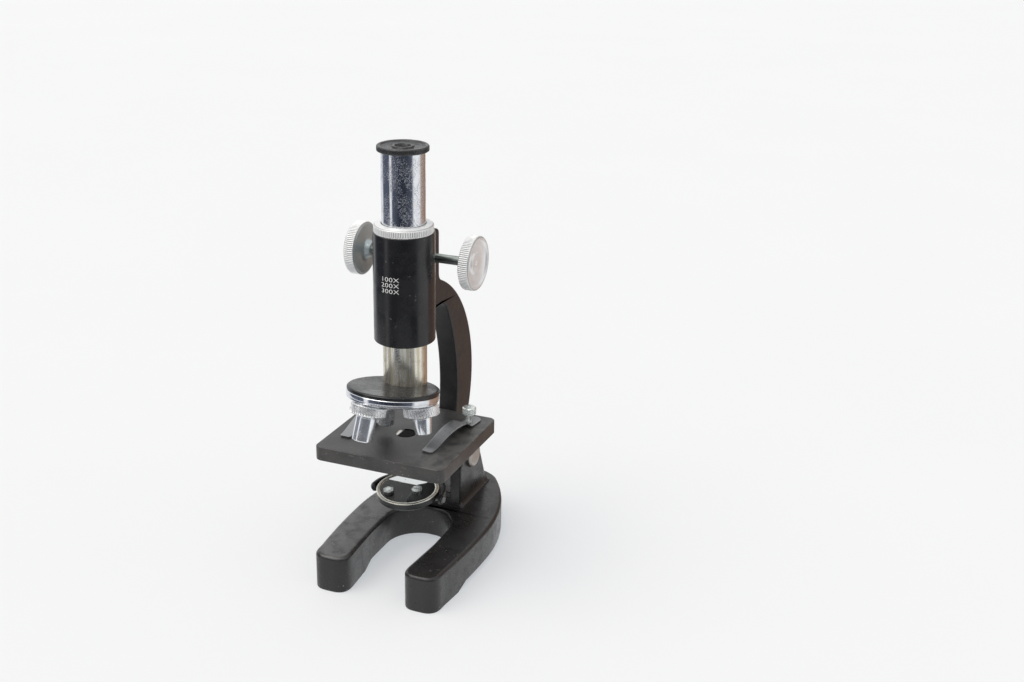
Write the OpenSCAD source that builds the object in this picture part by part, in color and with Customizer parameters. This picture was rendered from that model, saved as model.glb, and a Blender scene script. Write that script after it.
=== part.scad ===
// Student compound microscope: horseshoe foot, tilting limb, rack focus,
// three-objective nosepiece, square stage with clips and a swinging mirror.
// Everything is in millimetres, +Z up, front towards -Y.
// The origin is on the table under the middle of the foot.

/* [Foot] */
// Length of the horseshoe foot, front to back
foot_length = 120; // [100:1:140]
// Greatest half width of the foot
foot_half = 36; // [30:0.5:42]
// Height of the foot
foot_height = 19; // [14:0.5:26]
// How far the underside is raised between the pads
pad_height = 2.6; // [1:0.1:4]
// Half width of the gap between the toes
gap_half = 17; // [12:0.5:22]

/* [Pillar and hinge] */
// Distance of the hinge axis behind the tube axis
hinge_y = 49; // [44:0.5:54]
// Height of the hinge axis
hinge_z = 43; // [38:0.5:50]
// Outer half width of the pillar cheeks
cheek_outer = 14; // [12:0.5:16]
// Inner half width of the pillar cheeks
cheek_inner = 8; // [6:0.5:9]

/* [Limb] */
// Half width of the curved arm
arm_half = 5.2; // [4:0.1:7]
// Radius of the back of the arm
arm_back_r = 63; // [55:0.5:70]
// Radius of the front of the arm
arm_front_r = 93; // [80:0.5:110]

/* [Stage] */
// Half width of the stage plate
stage_half = 33.5; // [28:0.5:40]
// Front edge of the stage, measured from the tube axis
stage_front = -31.2; // [-40:0.2:-25]
// Rear edge of the stage, measured from the tube axis
stage_rear = 34.2; // [28:0.2:40]
// Height of the top of the stage
stage_top = 73; // [65:0.5:80]
// Thickness of the stage
stage_thick = 7.1; // [4:0.1:10]
// Diameter of the light hole
light_hole = 9.4; // [6:0.2:16]

/* [Tube] */
// Diameter of the outer sleeve
sleeve_d = 29; // [26:0.5:34]
// Height of the bottom of the sleeve
sleeve_bottom = 122.2; // [115:0.2:130]
// Height of the top of the sleeve
sleeve_top = 174.8; // [165:0.2:185]
// Diameter of the nickel body tube
tube_d = 20.92; // [18:0.02:24]
// Height of the very top of the eyepiece
total_height = 215; // [200:1:230]

/* [Focus] */
// Distance of the pinion axis behind the tube axis
pinion_y = 14; // [13:0.1:16]
// Height of the pinion axis
pinion_z = 159.3; // [150:0.1:165]
// Diameter of the focus knobs
knob_d = 25.8; // [20:0.2:32]
// Outer face of each knob from the middle
knob_reach = 31.5; // [26:0.5:36]
// Teeth on the pinion
pinion_teeth = 10; // [8:1:14]

/* [Nosepiece] */
// Lean of the nosepiece away from level
nose_lean = 10; // [8:0.1:18]
// Distance of the nosepiece centre in front of the tube axis
nose_offset = 12.6; // [11:0.1:16]
// Diameter of the turret rim
turret_d = 44; // [38:0.5:50]
// Length of the longest objective below the plate
long_reach = 24.6; // [20:0.1:26]
// Length of the middle objective below the plate
medium_reach = 22.8; // [18:0.1:25]
// Length of the shortest objective below the plate
short_reach = 21.1; // [16:0.1:24]

/* [Mirror] */
// Diameter of the mirror cup
mirror_d = 31; // [26:0.5:36]
// Height of the mirror pivots
mirror_z = 40; // [34:0.5:46]
// Tilt of the mirror towards the front
mirror_tilt = 5; // [0:0.1:45]

/* [Hidden] */
$fn = 96;
// Where the tube axis stands, so that the whole object is centred on the origin
axis_y = -21.4;
foot_front = -38;
foot_rear = foot_front + foot_length;
foot_wide_y = 18;
foot_front_r = 370;
foot_rear_r = 96;
heel_r = 26;
toe_r = 9;
toe_x = 24;
toe_y = foot_front + toe_r;
toe_corner = 6;
toe_gap_half = 15;
crotch_y = 12;
edge_round = 1.5;
edge_steps = 4;
pad_front_end = -14.5;
pad_slope = 8;
heel_pad_start = 66;
bolt_y = [41, 61];
bolt_r = 2.1;
bolt_head_r = 4;
bolt_head_depth = 8;
flange_half = 15.6;
flange_front = 33;
flange_rear = 71;
flange_thick = 1;
slot_floor = 26;
cheek_front = 34.5;
cheek_front_top = 41;
cheek_foot_rear = 69.4;
cheek_top_r = 9.5;
hinge_r = 3;
hinge_fit = 0.05;
boss_r = 8.5;
boss_gap = 0.1;
hinge_head_r = 6.7;
hinge_head_thick = 2.4;
washer_r = 5;
washer_thick = 0.8;
nut_across = 10;
nut_thick = 4;
arm_back_y = 6;
arm_back_z = 85;
arm_front_y = -43;
arm_front_z = 80;
head_rear = 28;
head_bottom = 131;
fillet_r = 10;
fillet_angle = asin((head_bottom - fillet_r - arm_front_z) / (arm_front_r - fillet_r));
fillet_y = arm_front_y + (arm_front_r - fillet_r) * cos(fillet_angle);
head_top = 170;
head_corner_r = 2.5;
bracket_half = 9.2;
bracket_front = 14;
bracket_rear = 28;
bracket_bottom = 60.4;
stage_bottom = stage_top - stage_thick;
stage_corner = 3.5;
stage_screw_x = 6.2;
stage_screw_y = 22;
screw_r = 1.5;
screw_head_r = 2.7;
sleeve_r = sleeve_d / 2;
sleeve_wall = 1.3;
tube_r = tube_d / 2;
tube_wall = 0.95;
tube_top = 167;
tube_fit = 0.06;
nose_front_r = tube_r + 0.35;
bush_bottom = sleeve_bottom + 0.8;
bush_top = head_bottom - 0.4;
ring_top = 179;
ring_r = 13.9;
ring_band_top = 177.4;
spigot_bottom = 170.4;
pinion_r = 3;
shaft_r = 2.2;
shaft_fit = 0.05;
tooth_pitch = 2 * PI * pinion_r / pinion_teeth;
tooth_out = 0.5;
tooth_in = 0.55;
gear_half = 2.4;
gear_pocket_r = pinion_r + tooth_out + 0.4;
rack_half = 2.4;
rack_bottom = 143.5;
rack_top = 162.8;
rack_back = tube_r - tube_wall;
rack_pitch_y = pinion_y - pinion_r;
groove_half = rack_half + 0.4;
groove_rear = rack_pitch_y + tooth_out + 0.5;
knob_r = knob_d / 2;
knob_rim = 5.6;
left_knob_out = 1.1;
hub_start = 22.4;
plate_r = 21.5;
plate_thick = 1.6;
turret_gap = 0.3;
turret_top = -(plate_thick + turret_gap);
turret_rim = 3.5;
turret_r = turret_d / 2;
turret_bottom = turret_top - turret_rim;
turret_centre = -7.2;
pivot_r = 2.4;
axis_height = 100.07;
nose_z = axis_height + nose_offset * tan(nose_lean);
objective_ring = nose_offset / cos(nose_lean);
long_at = -24;
short_at = 96;
medium_at = 216;
seat_r = 7.4;
thread_r = 4.1;
thread_top = 3.1;
collar_top = 7.2;
collar_bottom = 12.2;
collar_r = 8.5;
barrel_r = 4.8;
barrel_bore = 2.9;
lens_r = 2.1;
eyepiece_r = 10.22;
eyepiece_wall = 0.9;
cap_r = 12;
cap_bottom = 212.4;
plug_bottom = 204;
spigot_low = 151;
clip_x = 23.5;
clip_y = 23;
clip_turn_right = 7.1;
clip_turn_left = -1.4;
clip_length = 39.8;
clip_tail = 7.4;
clip_half = 3.9;
clip_tip_half = 2.8;
clip_tip_cut = 1.2;
clip_taper_s = 10;
clip_thick = 0.6;
clip_arc_r = 40;
clip_crest_s = 16;
clip_crest = 4.4;
clip_flat_s = 3.8;
clip_rise_s = 8;
clip_bend_s = 25;
clip_foot_s = 36.5;
clip_rise = clip_crest - clip_arc_r + sqrt(pow(clip_arc_r, 2) - pow(clip_crest_s - clip_rise_s, 2));
clip_bend = clip_crest - clip_arc_r + sqrt(pow(clip_arc_r, 2) - pow(clip_bend_s - clip_crest_s, 2));
clip_rest = 0.35;
clip_shaft_r = 1.5;
clip_neck_r = 1.65;
clip_head_r = 3.4;
clip_head_low = 5.3;
clip_head_high = 9;
mirror_y = 1.5;
mirror_r = mirror_d / 2;
cup_low = -1.9;
cup_high = 2.4;
bezel_high = 2.9;
glass_r = 14.2;
glass_low = 1.5;
glass_high = 2.5;
yoke_inner = 17.3;
yoke_outer = 18.9;
yoke_half_height = 2.5;
stem_r = 2;
stem_end = 45;
stem_hole_end = 45.2;
pin_r = 1;
tiny = 0.01;

// Moves parts drawn around the tube axis into place over the foot.
module on_axis() {
    translate([0, axis_y, 0]) children();
}

// Turns a side profile, drawn as [y, z], into a slab of the given half width.
module side_slab(half) {
    rotate([90, 0, 90]) translate([0, 0, -half]) linear_extrude(2 * half) children();
}

// A cylinder along X between two x values.
module x_rod(r, x0, x1) {
    translate([x0, 0, 0]) rotate([0, 90, 0]) cylinder(r = r, h = x1 - x0);
}

// A cylinder along Y between two y values.
module y_rod(r, y0, y1) {
    translate([0, y0, 0]) rotate([-90, 0, 0]) cylinder(r = r, h = y1 - y0);
}

// A ring standing on the XY plane.
module ring(r_out, r_in, z0, z1) {
    translate([0, 0, z0]) difference() {
        cylinder(r = r_out, h = z1 - z0);
        translate([0, 0, -1]) cylinder(r = r_in, h = z1 - z0 + 2);
    }
}

// ---- foot ----

// Two big arcs that make one side of the foot bulge.
module foot_lens(r, inset) {
    intersection() {
        translate([foot_half - r, foot_wide_y]) circle(r = r - inset, $fn = 360);
        translate([r - foot_half, foot_wide_y]) circle(r = r - inset, $fn = 360);
    }
}

// Outer shape of the foot before the toes and gap are cut.
module foot_blank(inset) {
    intersection() {
        union() {
            intersection() {
                foot_lens(foot_front_r, inset);
                translate([-foot_half, toe_y]) square([2 * foot_half, foot_wide_y - toe_y]);
            }
            intersection() {
                foot_lens(foot_rear_r, inset);
                translate([-foot_half, foot_wide_y - tiny]) square([2 * foot_half, foot_length]);
            }
        }
        union() {
            translate([-foot_half, toe_y]) square([2 * foot_half, foot_rear - heel_r / 2 - toe_y]);
            translate([0, foot_rear - heel_r]) circle(r = heel_r - inset);
        }
    }
}

// The U-shaped gap between the toes.
module foot_gap(inset) {
    polygon([
        [-toe_gap_half - inset, foot_front - 1],
        [toe_gap_half + inset, foot_front - 1],
        [toe_gap_half + inset, toe_y],
        [gap_half + inset, toe_y + 24],
        [gap_half + inset, crotch_y],
        [-gap_half - inset, crotch_y],
        [-gap_half - inset, toe_y + 24],
        [-toe_gap_half - inset, toe_y]
    ]);
    translate([0, crotch_y]) circle(r = gap_half + inset);
}

// Blunt front of one toe, with rounded corners.
module toe_front(inset) {
    across = toe_r - toe_corner;
    for (x = [-across, across]) translate([x, foot_front + toe_corner]) circle(r = toe_corner - inset);
    translate([-across, foot_front + inset]) square([2 * across, toe_corner]);
    translate([inset - toe_r, foot_front + toe_corner]) square([2 * (toe_r - inset), toe_r - toe_corner + tiny]);
}

// Plan of the whole foot, shrunk by inset.
module foot_plan(inset) {
    difference() {
        union() {
            foot_blank(inset);
            for (side = [-1, 1]) translate([side * toe_x, 0]) toe_front(inset);
        }
        foot_gap(inset);
    }
}

module horseshoe_base() {
    color("dimgray") on_axis() difference() {
        union() {
            linear_extrude(foot_height - edge_round) foot_plan(0);
            for (i = [1:edge_steps]) {
                turn = 90 * i / edge_steps;
                lower = foot_height - edge_round + edge_round * sin(90 * (i - 1) / edge_steps);
                upper = foot_height - edge_round + edge_round * sin(turn);
                translate([0, 0, lower - tiny])
                    linear_extrude(upper - lower + tiny)
                        foot_plan(edge_round * (1 - cos(turn)) * 0.8);
            }
        }
        side_slab(foot_half + 1) polygon([
            [pad_front_end, -1],
            [pad_front_end, 0],
            [pad_front_end + pad_slope, pad_height],
            [heel_pad_start - 4, pad_height],
            [heel_pad_start, 0],
            [heel_pad_start, -1]
        ]);
        for (y = bolt_y) translate([0, y, -1]) {
            cylinder(r = bolt_r, h = foot_height + 2);
            cylinder(r = bolt_head_r + 0.4, h = bolt_head_depth + 1);
        }
    }
}

// ---- pillar and hinge ----

// Side view of one cheek.
module cheek_profile() {
    polygon([
        [cheek_front, foot_height],
        [cheek_front, cheek_front_top],
        [hinge_y - 5.6, hinge_z + 7.7],
        [hinge_y, hinge_z],
        [hinge_y + 8.7, hinge_z + 3.8],
        [cheek_foot_rear, foot_height]
    ]);
    translate([hinge_y, hinge_z]) circle(r = cheek_top_r);
}

module pillar() {
    color("dimgray") on_axis() difference() {
        union() {
            translate([-flange_half, flange_front, foot_height])
                cube([2 * flange_half, flange_rear - flange_front, flange_thick]);
            side_slab(cheek_outer) cheek_profile();
        }
        translate([-cheek_inner, flange_front - 1, slot_floor])
            cube([2 * cheek_inner, foot_length, hinge_z]);
        translate([0, hinge_y, hinge_z]) x_rod(hinge_r, -cheek_outer - 1, cheek_outer + 1);
        for (y = bolt_y) translate([0, y, foot_height - 1]) cylinder(r = bolt_r, h = 6);
    }
}

module pillar_bolts() {
    color("silver") on_axis() for (y = bolt_y) translate([0, y, bolt_head_depth - 3]) difference() {
        union() {
            cylinder(r = bolt_r, h = foot_height - bolt_head_depth + 3 + 5);
            cylinder(r = bolt_head_r, h = 3);
        }
        translate([-5, -0.5, -1]) cube([10, 1, 2.2]);
    }
}

module hinge_bolt() {
    color("silver") on_axis() translate([0, hinge_y, hinge_z]) {
        x_rod(hinge_r, -cheek_outer - washer_thick - nut_thick - 1.5, cheek_outer);
        translate([cheek_outer, 0, 0]) rotate([0, 90, 0]) rotate_extrude() polygon([
            [0, 0],
            [hinge_head_r, 0],
            [hinge_head_r, hinge_head_thick * 0.55],
            [hinge_head_r - 0.7, hinge_head_thick * 0.8],
            [hinge_head_r - 2.2, hinge_head_thick],
            [0, hinge_head_thick]
        ]);
    }
}

module hinge_washer() {
    color("gainsboro") on_axis() translate([0, hinge_y, hinge_z]) difference() {
        x_rod(washer_r + 1, -cheek_outer - washer_thick, -cheek_outer);
        x_rod(hinge_r, -cheek_outer - 2, -cheek_outer + 1);
    }
}

module hinge_nut() {
    color("silver") on_axis() translate([0, hinge_y, hinge_z]) difference() {
        translate([-cheek_outer - washer_thick - nut_thick, 0, 0]) rotate([0, 90, 0])
            cylinder(r = nut_across / 2 / cos(30), h = nut_thick, $fn = 6);
        x_rod(hinge_r, -cheek_outer - 8, -cheek_outer + 1);
    }
}

// ---- limb ----

// Side view of the open space in front of the arm, with its rounded upper corner.
module arm_void() {
    intersection() {
        translate([arm_front_y, arm_front_z]) circle(r = arm_front_r, $fn = 240);
        union() {
            translate([arm_front_y, arm_front_z]) polygon([
                [0, 0],
                [2 * arm_front_r * cos(fillet_angle), 2 * arm_front_r * sin(fillet_angle)],
                [2 * arm_front_r, -arm_front_z],
                [0, -arm_front_z]
            ]);
            square([fillet_y, head_bottom]);
            translate([fillet_y, head_bottom - fillet_r]) circle(r = fillet_r);
        }
    }
}

// Side view of the curved arm and its head.
module limb_profile() {
    difference() {
        intersection() {
            translate([arm_back_y, arm_back_z]) circle(r = arm_back_r, $fn = 240);
            translate([9, hinge_z]) square([arm_back_r, head_bottom + 16 - hinge_z]);
        }
        arm_void();
    }
    translate([9, head_bottom]) square([head_rear - 9, head_top - head_corner_r - head_bottom]);
    translate([9, head_bottom]) square([head_rear - head_corner_r - 9, head_top - head_bottom]);
    translate([head_rear - head_corner_r, head_top - head_corner_r]) circle(r = head_corner_r);
}

module limb() {
    color("dimgray") on_axis() difference() {
        union() {
            side_slab(arm_half) limb_profile();
            translate([0, hinge_y, hinge_z]) x_rod(boss_r, -cheek_inner + boss_gap, cheek_inner - boss_gap);
            translate([-bracket_half, bracket_front, bracket_bottom])
                cube([2 * bracket_half, bracket_rear - bracket_front, stage_bottom - bracket_bottom]);
            translate([-arm_half, bracket_rear - 1, bracket_bottom])
                cube([2 * arm_half, hinge_y + 3 - bracket_rear, stage_bottom - bracket_bottom]);
        }
        translate([0, hinge_y, hinge_z]) x_rod(hinge_r + hinge_fit, -cheek_outer, cheek_outer);
        translate([0, 0, mirror_z]) y_rod(stem_r + hinge_fit, hinge_y - boss_r - 5, stem_hole_end);
        for (side = [-1, 1]) translate([side * stage_screw_x, stage_screw_y, bracket_bottom - 1])
            cylinder(r = screw_r, h = 10);
        cylinder(r = nose_front_r, h = total_height);
        translate([-groove_half, 0, head_bottom - 1])
            cube([2 * groove_half, groove_rear, head_top - head_bottom + 2]);
        translate([0, pinion_y, pinion_z]) {
            x_rod(shaft_r + shaft_fit, -arm_half - 1, arm_half + 1);
            x_rod(gear_pocket_r, -groove_half, groove_half);
        }
        translate([-groove_half, 0, pinion_z - gear_pocket_r])
            cube([2 * groove_half, pinion_y, 2 * gear_pocket_r]);
    }
}

// ---- stage ----

module stage_plan() {
    span_x = stage_half - stage_corner;
    for (x = [-span_x, span_x]) for (y = [stage_front + stage_corner, stage_rear - stage_corner])
        translate([x, y]) circle(r = stage_corner);
    translate([-span_x, stage_front]) square([2 * span_x, stage_rear - stage_front]);
    translate([-stage_half, stage_front + stage_corner])
        square([2 * stage_half, stage_rear - stage_front - 2 * stage_corner]);
}

module stage() {
    color("gray") on_axis() difference() {
        translate([0, 0, stage_bottom]) linear_extrude(stage_thick) stage_plan();
        cylinder(d = light_hole, h = total_height);
        for (side = [-1, 1]) {
            translate([side * stage_screw_x, stage_screw_y, stage_bottom - 1])
                cylinder(r = screw_r, h = 6);
            translate([side * clip_x, clip_y, 0]) cylinder(r = clip_shaft_r + shaft_fit, h = total_height);
        }
    }
}

module stage_screws() {
    color("silver") on_axis() for (side = [-1, 1])
        translate([side * stage_screw_x, stage_screw_y, bracket_bottom]) difference() {
            union() {
                cylinder(r = screw_r, h = stage_bottom - bracket_bottom + 5);
                translate([0, 0, -1.8]) cylinder(r = screw_head_r, h = 1.8);
            }
            translate([-4, -0.4, -2.8]) cube([8, 0.8, 1.8]);
        }
}

// ---- sleeve ----

module tube_sleeve() {
    color("black") on_axis() difference() {
        ring(sleeve_r, sleeve_r - sleeve_wall, sleeve_bottom, sleeve_top);
        translate([-arm_half, 0, head_bottom]) cube([2 * arm_half, sleeve_d, head_top - head_bottom]);
        translate([0, pinion_y, pinion_z]) x_rod(shaft_r + 0.5, -sleeve_r, sleeve_r);
    }
}

module guide_bush() {
    color("dimgray") on_axis() ring(sleeve_r - sleeve_wall, tube_r + tube_fit, bush_bottom, bush_top);
}

module sleeve_ring() {
    color("silver") on_axis() difference() {
        union() {
            rotate_extrude() polygon([
                [tube_r + tube_fit, sleeve_top],
                [ring_r, sleeve_top],
                [ring_r, ring_band_top],
                [ring_r - 0.7, ring_band_top + 0.5],
                [tube_r + 0.9, ring_top],
                [tube_r + tube_fit, ring_top]
            ]);
            ring(sleeve_r - sleeve_wall, tube_r + tube_fit, spigot_bottom, sleeve_top);
        }
        translate([-groove_half, 0, spigot_bottom - 1])
            cube([2 * groove_half, groove_rear, sleeve_top - spigot_bottom + 1.8]);
    }
}

// ---- focus drive ----

// A point at radius r, given as an angle from +Y.
function around(r, angle) = [r * cos(90 + angle), r * sin(90 + angle)];

// Outline of the pinion, with its first tooth pointing along +Y.
module pinion_outline() {
    polygon([
        for (i = [0:pinion_teeth - 1]) let (turn = 360 * i / pinion_teeth) each [
            around(pinion_r - tooth_in, turn - 12),
            around(pinion_r, turn - 7.6),
            around(pinion_r + tooth_out, turn - 3.3),
            around(pinion_r + tooth_out, turn + 3.3),
            around(pinion_r, turn + 7.6),
            around(pinion_r - tooth_in, turn + 12)
        ]
    ]);
}

module pinion_shaft() {
    color("slategray") on_axis() translate([0, pinion_y, pinion_z])
        x_rod(shaft_r, -knob_reach - left_knob_out + 2.4, knob_reach - 2.4);
}

module pinion_gear() {
    color("goldenrod") on_axis() translate([-gear_half, pinion_y, pinion_z]) rotate([90, 0, 90]) difference() {
        rotate([0, 0, 90]) linear_extrude(2 * gear_half) pinion_outline();
        translate([0, 0, -1]) cylinder(r = shaft_r, h = 2 * gear_half + 2);
    }
}

// Right-hand knob, turned about X.
module knob() {
    face = knob_reach;
    translate([0, pinion_y, pinion_z]) rotate([0, 90, 0]) difference() {
        rotate_extrude() polygon([
            [0, hub_start],
            [3.4, hub_start],
            [4.6, face - knob_rim - 0.9],
            [knob_r - 1.2, face - knob_rim],
            [knob_r, face - knob_rim + 0.7],
            [knob_r, face - 0.6],
            [knob_r - 0.5, face],
            [knob_r - 1.6, face],
            [knob_r - 2.4, face - 1.2],
            [5.2, face - 2],
            [4.6, face - 1.1],
            [0, face - 1.1]
        ]);
        translate([0, 0, hub_start - 1]) cylinder(r = shaft_r, h = face - 2.4 - hub_start + 1);
    }
}

module knob_right() {
    color("gainsboro") on_axis() knob();
}

module knob_left() {
    color("gainsboro") on_axis() translate([-left_knob_out, 0, 0]) mirror([1, 0, 0]) knob();
}

// ---- body tube ----

// Local frame of the nosepiece: origin on its plate, +Z along its axis.
module nose_frame() {
    translate([0, -nose_offset, nose_z]) rotate([-nose_lean, 0, 0]) children();
}

module body_tube() {
    color("wheat") on_axis() difference() {
        ring(tube_r, tube_r - tube_wall, axis_height - 4, tube_top);
        nose_frame() translate([-30, -30, -20]) cube([60, 60, 20]);
        translate([-rack_half, 0, rack_bottom]) cube([2 * rack_half, tube_d, rack_top - rack_bottom]);
    }
}

module rack() {
    root = rack_pitch_y - tooth_in;
    first = floor((rack_bottom + 0.8 - pinion_z) / tooth_pitch);
    last = floor((rack_top - 0.8 - pinion_z) / tooth_pitch) - 1;
    color("goldenrod") on_axis() difference() {
        intersection() {
            union() {
                translate([-rack_half, rack_back, rack_bottom])
                    cube([2 * rack_half, root - rack_back, rack_top - rack_bottom]);
                for (i = [first:last])
                    translate([0, 0, pinion_z + (i + 0.5) * tooth_pitch]) side_slab(rack_half) polygon([
                        [root - tiny, -0.55],
                        [rack_pitch_y, -0.36],
                        [rack_pitch_y + tooth_out, -0.18],
                        [rack_pitch_y + tooth_out, 0.18],
                        [rack_pitch_y, 0.36],
                        [root - tiny, 0.55]
                    ]);
            }
            translate([-rack_half, 0, rack_bottom]) cube([2 * rack_half, sleeve_d, rack_top - rack_bottom]);
        }
        for (z = [rack_bottom + 1.6, rack_top - 1.4]) translate([0, 0, z]) y_rod(0.7, 0, sleeve_d);
    }
}

module rack_screws() {
    color("silver") on_axis() for (z = [rack_bottom + 1.6, rack_top - 1.4])
        translate([0, 0, z]) y_rod(0.7, rack_back, rack_pitch_y - tooth_in);
}

module tube_baffle() {
    color("black") on_axis() ring(tube_r - tube_wall, 6, 128, 129);
}

module nosepiece_plate() {
    color("black") on_axis() difference() {
        nose_frame() {
            translate([0, 0, -plate_thick]) cylinder(r = plate_r, h = plate_thick - 0.5);
            translate([0, 0, -0.5 - tiny]) cylinder(r = plate_r - 0.4, h = 0.5 + tiny);
        }
        translate([0, 0, 80]) cylinder(r = 5.5, h = 40);
        nose_frame() translate([0, 0, -10]) cylinder(r = pivot_r, h = 20);
    }
}

module nosepiece_screw() {
    color("silver") on_axis() nose_frame() difference() {
        union() {
            translate([0, 0, turret_centre - 0.4]) cylinder(r = pivot_r, h = -turret_centre + 0.4);
            translate([0, 0, turret_centre - 2.6]) cylinder(r = 4.2, h = 2.3);
        }
        translate([-5, -0.5, turret_centre - 3.6]) cube([10, 1, 2]);
    }
}

// ---- nosepiece ----

// Local frame of one objective: origin where its axis meets the plate, -Z down the barrel.
module objective_frame(at) {
    nose_frame() rotate([0, 0, at]) translate([0, -objective_ring, 0]) rotate([-nose_lean, 0, 0]) children();
}

module nosepiece_disc() {
    color("silver") on_axis() difference() {
        union() {
            nose_frame() rotate_extrude() polygon([
                [pivot_r + shaft_fit, turret_top],
                [turret_r - 0.3, turret_top],
                [turret_r, turret_top - 0.4],
                [turret_r, turret_bottom + 0.6],
                [turret_r - 0.6, turret_bottom],
                [turret_r - 2.4, turret_bottom],
                [9, turret_centre + 0.6],
                [7, turret_centre],
                [pivot_r + shaft_fit, turret_centre]
            ]);
            for (at = [long_at, short_at, medium_at]) objective_frame(at)
                translate([0, 0, -collar_top]) cylinder(r = seat_r, h = 3);
        }
        for (at = [long_at, short_at, medium_at]) objective_frame(at)
            translate([0, 0, -collar_top - 1]) cylinder(r = thread_r, h = 20);
        nose_frame() translate([0, 0, turret_top]) cylinder(r = turret_r + 5, h = 10);
        nose_frame() translate([0, 0, turret_centre - 6]) cylinder(r = 4.6, h = 6);
    }
}

module collar(at) {
    color("gainsboro") on_axis() objective_frame(at) rotate_extrude() polygon([
        [barrel_r, -collar_top],
        [collar_r - 0.5, -collar_top],
        [collar_r, -collar_top - 0.5],
        [collar_r, -collar_bottom + 0.5],
        [collar_r - 0.5, -collar_bottom],
        [barrel_r, -collar_bottom]
    ]);
}

module collar_long() { collar(long_at); }
module collar_short() { collar(short_at); }
module collar_medium() { collar(medium_at); }

// A turned barrel with a threaded top, a stepped bore and a lens seat.
module barrel(at, reach, tip_r) {
    color("silver") on_axis() objective_frame(at) rotate_extrude() polygon([
        [barrel_bore, -thread_top],
        [thread_r, -thread_top],
        [thread_r, -collar_top],
        [barrel_r, -collar_top],
        [barrel_r, -collar_bottom - 0.6],
        [tip_r, -reach + 0.4],
        [tip_r - 0.4, -reach],
        [lens_r - 0.5, -reach],
        [lens_r, -reach + 0.8],
        [lens_r, -reach + 3],
        [barrel_bore, -reach + 3]
    ]);
}

module barrel_long() { barrel(long_at, long_reach, barrel_r); }
module barrel_short() { barrel(short_at, short_reach, 3.9); }
module barrel_medium() { barrel(medium_at, medium_reach, 4.5); }

// A small front lens held in the lens seat of its barrel.
module front_lens(at, reach) {
    color("lightblue") on_axis() objective_frame(at)
        translate([0, 0, -reach + 0.8]) cylinder(r = lens_r, h = 1.6);
}

module lens_long() { front_lens(long_at, long_reach); }
module lens_short() { front_lens(short_at, short_reach); }
module lens_medium() { front_lens(medium_at, medium_reach); }

// ---- eyepiece ----

module eyepiece_tube() {
    inside = eyepiece_r - eyepiece_wall;
    spigot_r = tube_r - tube_wall - tube_fit;
    color("silver") on_axis() {
        ring(eyepiece_r, inside, tube_top + 0.6, cap_bottom);
        ring(eyepiece_r, spigot_r - 0.8, tube_top, tube_top + 1.4);
        ring(spigot_r, spigot_r - 0.8, spigot_low, tube_top + 0.6);
    }
}

module eyepiece_cap() {
    inside = eyepiece_r - eyepiece_wall;
    color("black") on_axis() rotate_extrude() polygon([
        [6.6, plug_bottom],
        [inside, plug_bottom],
        [inside, cap_bottom],
        [cap_r - 0.4, cap_bottom],
        [cap_r, cap_bottom + 0.4],
        [cap_r, total_height - 0.4],
        [cap_r - 0.4, total_height],
        [cap_r - 1.6, total_height],
        [cap_r - 2.2, total_height - 0.5],
        [5.2, total_height - 1],
        [4.8, total_height - 0.2],
        [3.9, total_height - 0.2],
        [3.2, total_height - 1.6],
        [3.2, total_height - 2.2],
        [4.4, total_height - 2.2],
        [4.4, total_height - 5],
        [6.6, total_height - 5]
    ]);
}

module eye_lens() {
    color("lightblue") on_axis() translate([0, 0, total_height - 2.2]) {
        translate([0, 0, -2]) cylinder(r = 4.4, h = 2);
        rotate_extrude() polygon([[0, -0.1], [3.2, -0.1], [3.2, 0], [2.4, 0.35], [1.3, 0.6], [0, 0.7]]);
    }
}

module field_stop() {
    color("black") on_axis() ring(eyepiece_r - eyepiece_wall, 6, 188, 189);
}

module field_lens() {
    spigot_inside = tube_r - tube_wall - tube_fit - 0.8;
    color("lightblue") on_axis() translate([0, 0, spigot_low + 1]) cylinder(r = spigot_inside, h = 2.4);
}

// ---- clips ----

// Side view of a clip strip: flat under its screw, arched, then flat again at its tip.
module clip_profile() {
    intersection() {
        difference() {
            translate([clip_crest_s, clip_crest - clip_arc_r]) circle(r = clip_arc_r + clip_thick, $fn = 720);
            translate([clip_crest_s, clip_crest - clip_arc_r]) circle(r = clip_arc_r, $fn = 720);
        }
        translate([clip_rise_s, 0]) square([clip_bend_s - clip_rise_s, 10]);
    }
    polygon([
        [-clip_tail, clip_rest],
        [clip_flat_s, clip_rest],
        [clip_rise_s + tiny, clip_rise],
        [clip_rise_s + tiny, clip_rise + clip_thick + 0.02],
        [clip_flat_s - 0.2, clip_rest + clip_thick],
        [-clip_tail, clip_rest + clip_thick]
    ]);
    polygon([
        [clip_bend_s - tiny, clip_bend],
        [clip_foot_s, clip_rest],
        [clip_length, clip_rest],
        [clip_length, clip_rest + clip_thick],
        [clip_foot_s + 0.1, clip_rest + clip_thick],
        [clip_bend_s - tiny, clip_bend + clip_thick + 0.02]
    ]);
}

// A clip strip on the right, pointing forwards from its screw and turned inwards.
module clip_strip(inwards) {
    round_s = clip_tail - clip_half;
    cut_s = clip_length - clip_tip_cut;
    translate([clip_x, clip_y, stage_top]) rotate([0, 0, -90 - inwards]) difference() {
        intersection() {
            rotate([90, 0, 0]) translate([0, 0, -clip_half]) linear_extrude(2 * clip_half) clip_profile();
            union() {
                translate([-round_s, 0, 0]) cylinder(r = clip_half, h = 12);
                linear_extrude(12) polygon([
                    [-round_s, -clip_half],
                    [clip_taper_s, -clip_half],
                    [cut_s, -clip_tip_half],
                    [clip_length, clip_tip_cut - clip_tip_half],
                    [clip_length, clip_tip_half - clip_tip_cut],
                    [cut_s, clip_tip_half],
                    [clip_taper_s, clip_half],
                    [-round_s, clip_half]
                ]);
            }
        }
        cylinder(r = clip_shaft_r, h = 12);
    }
}

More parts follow.
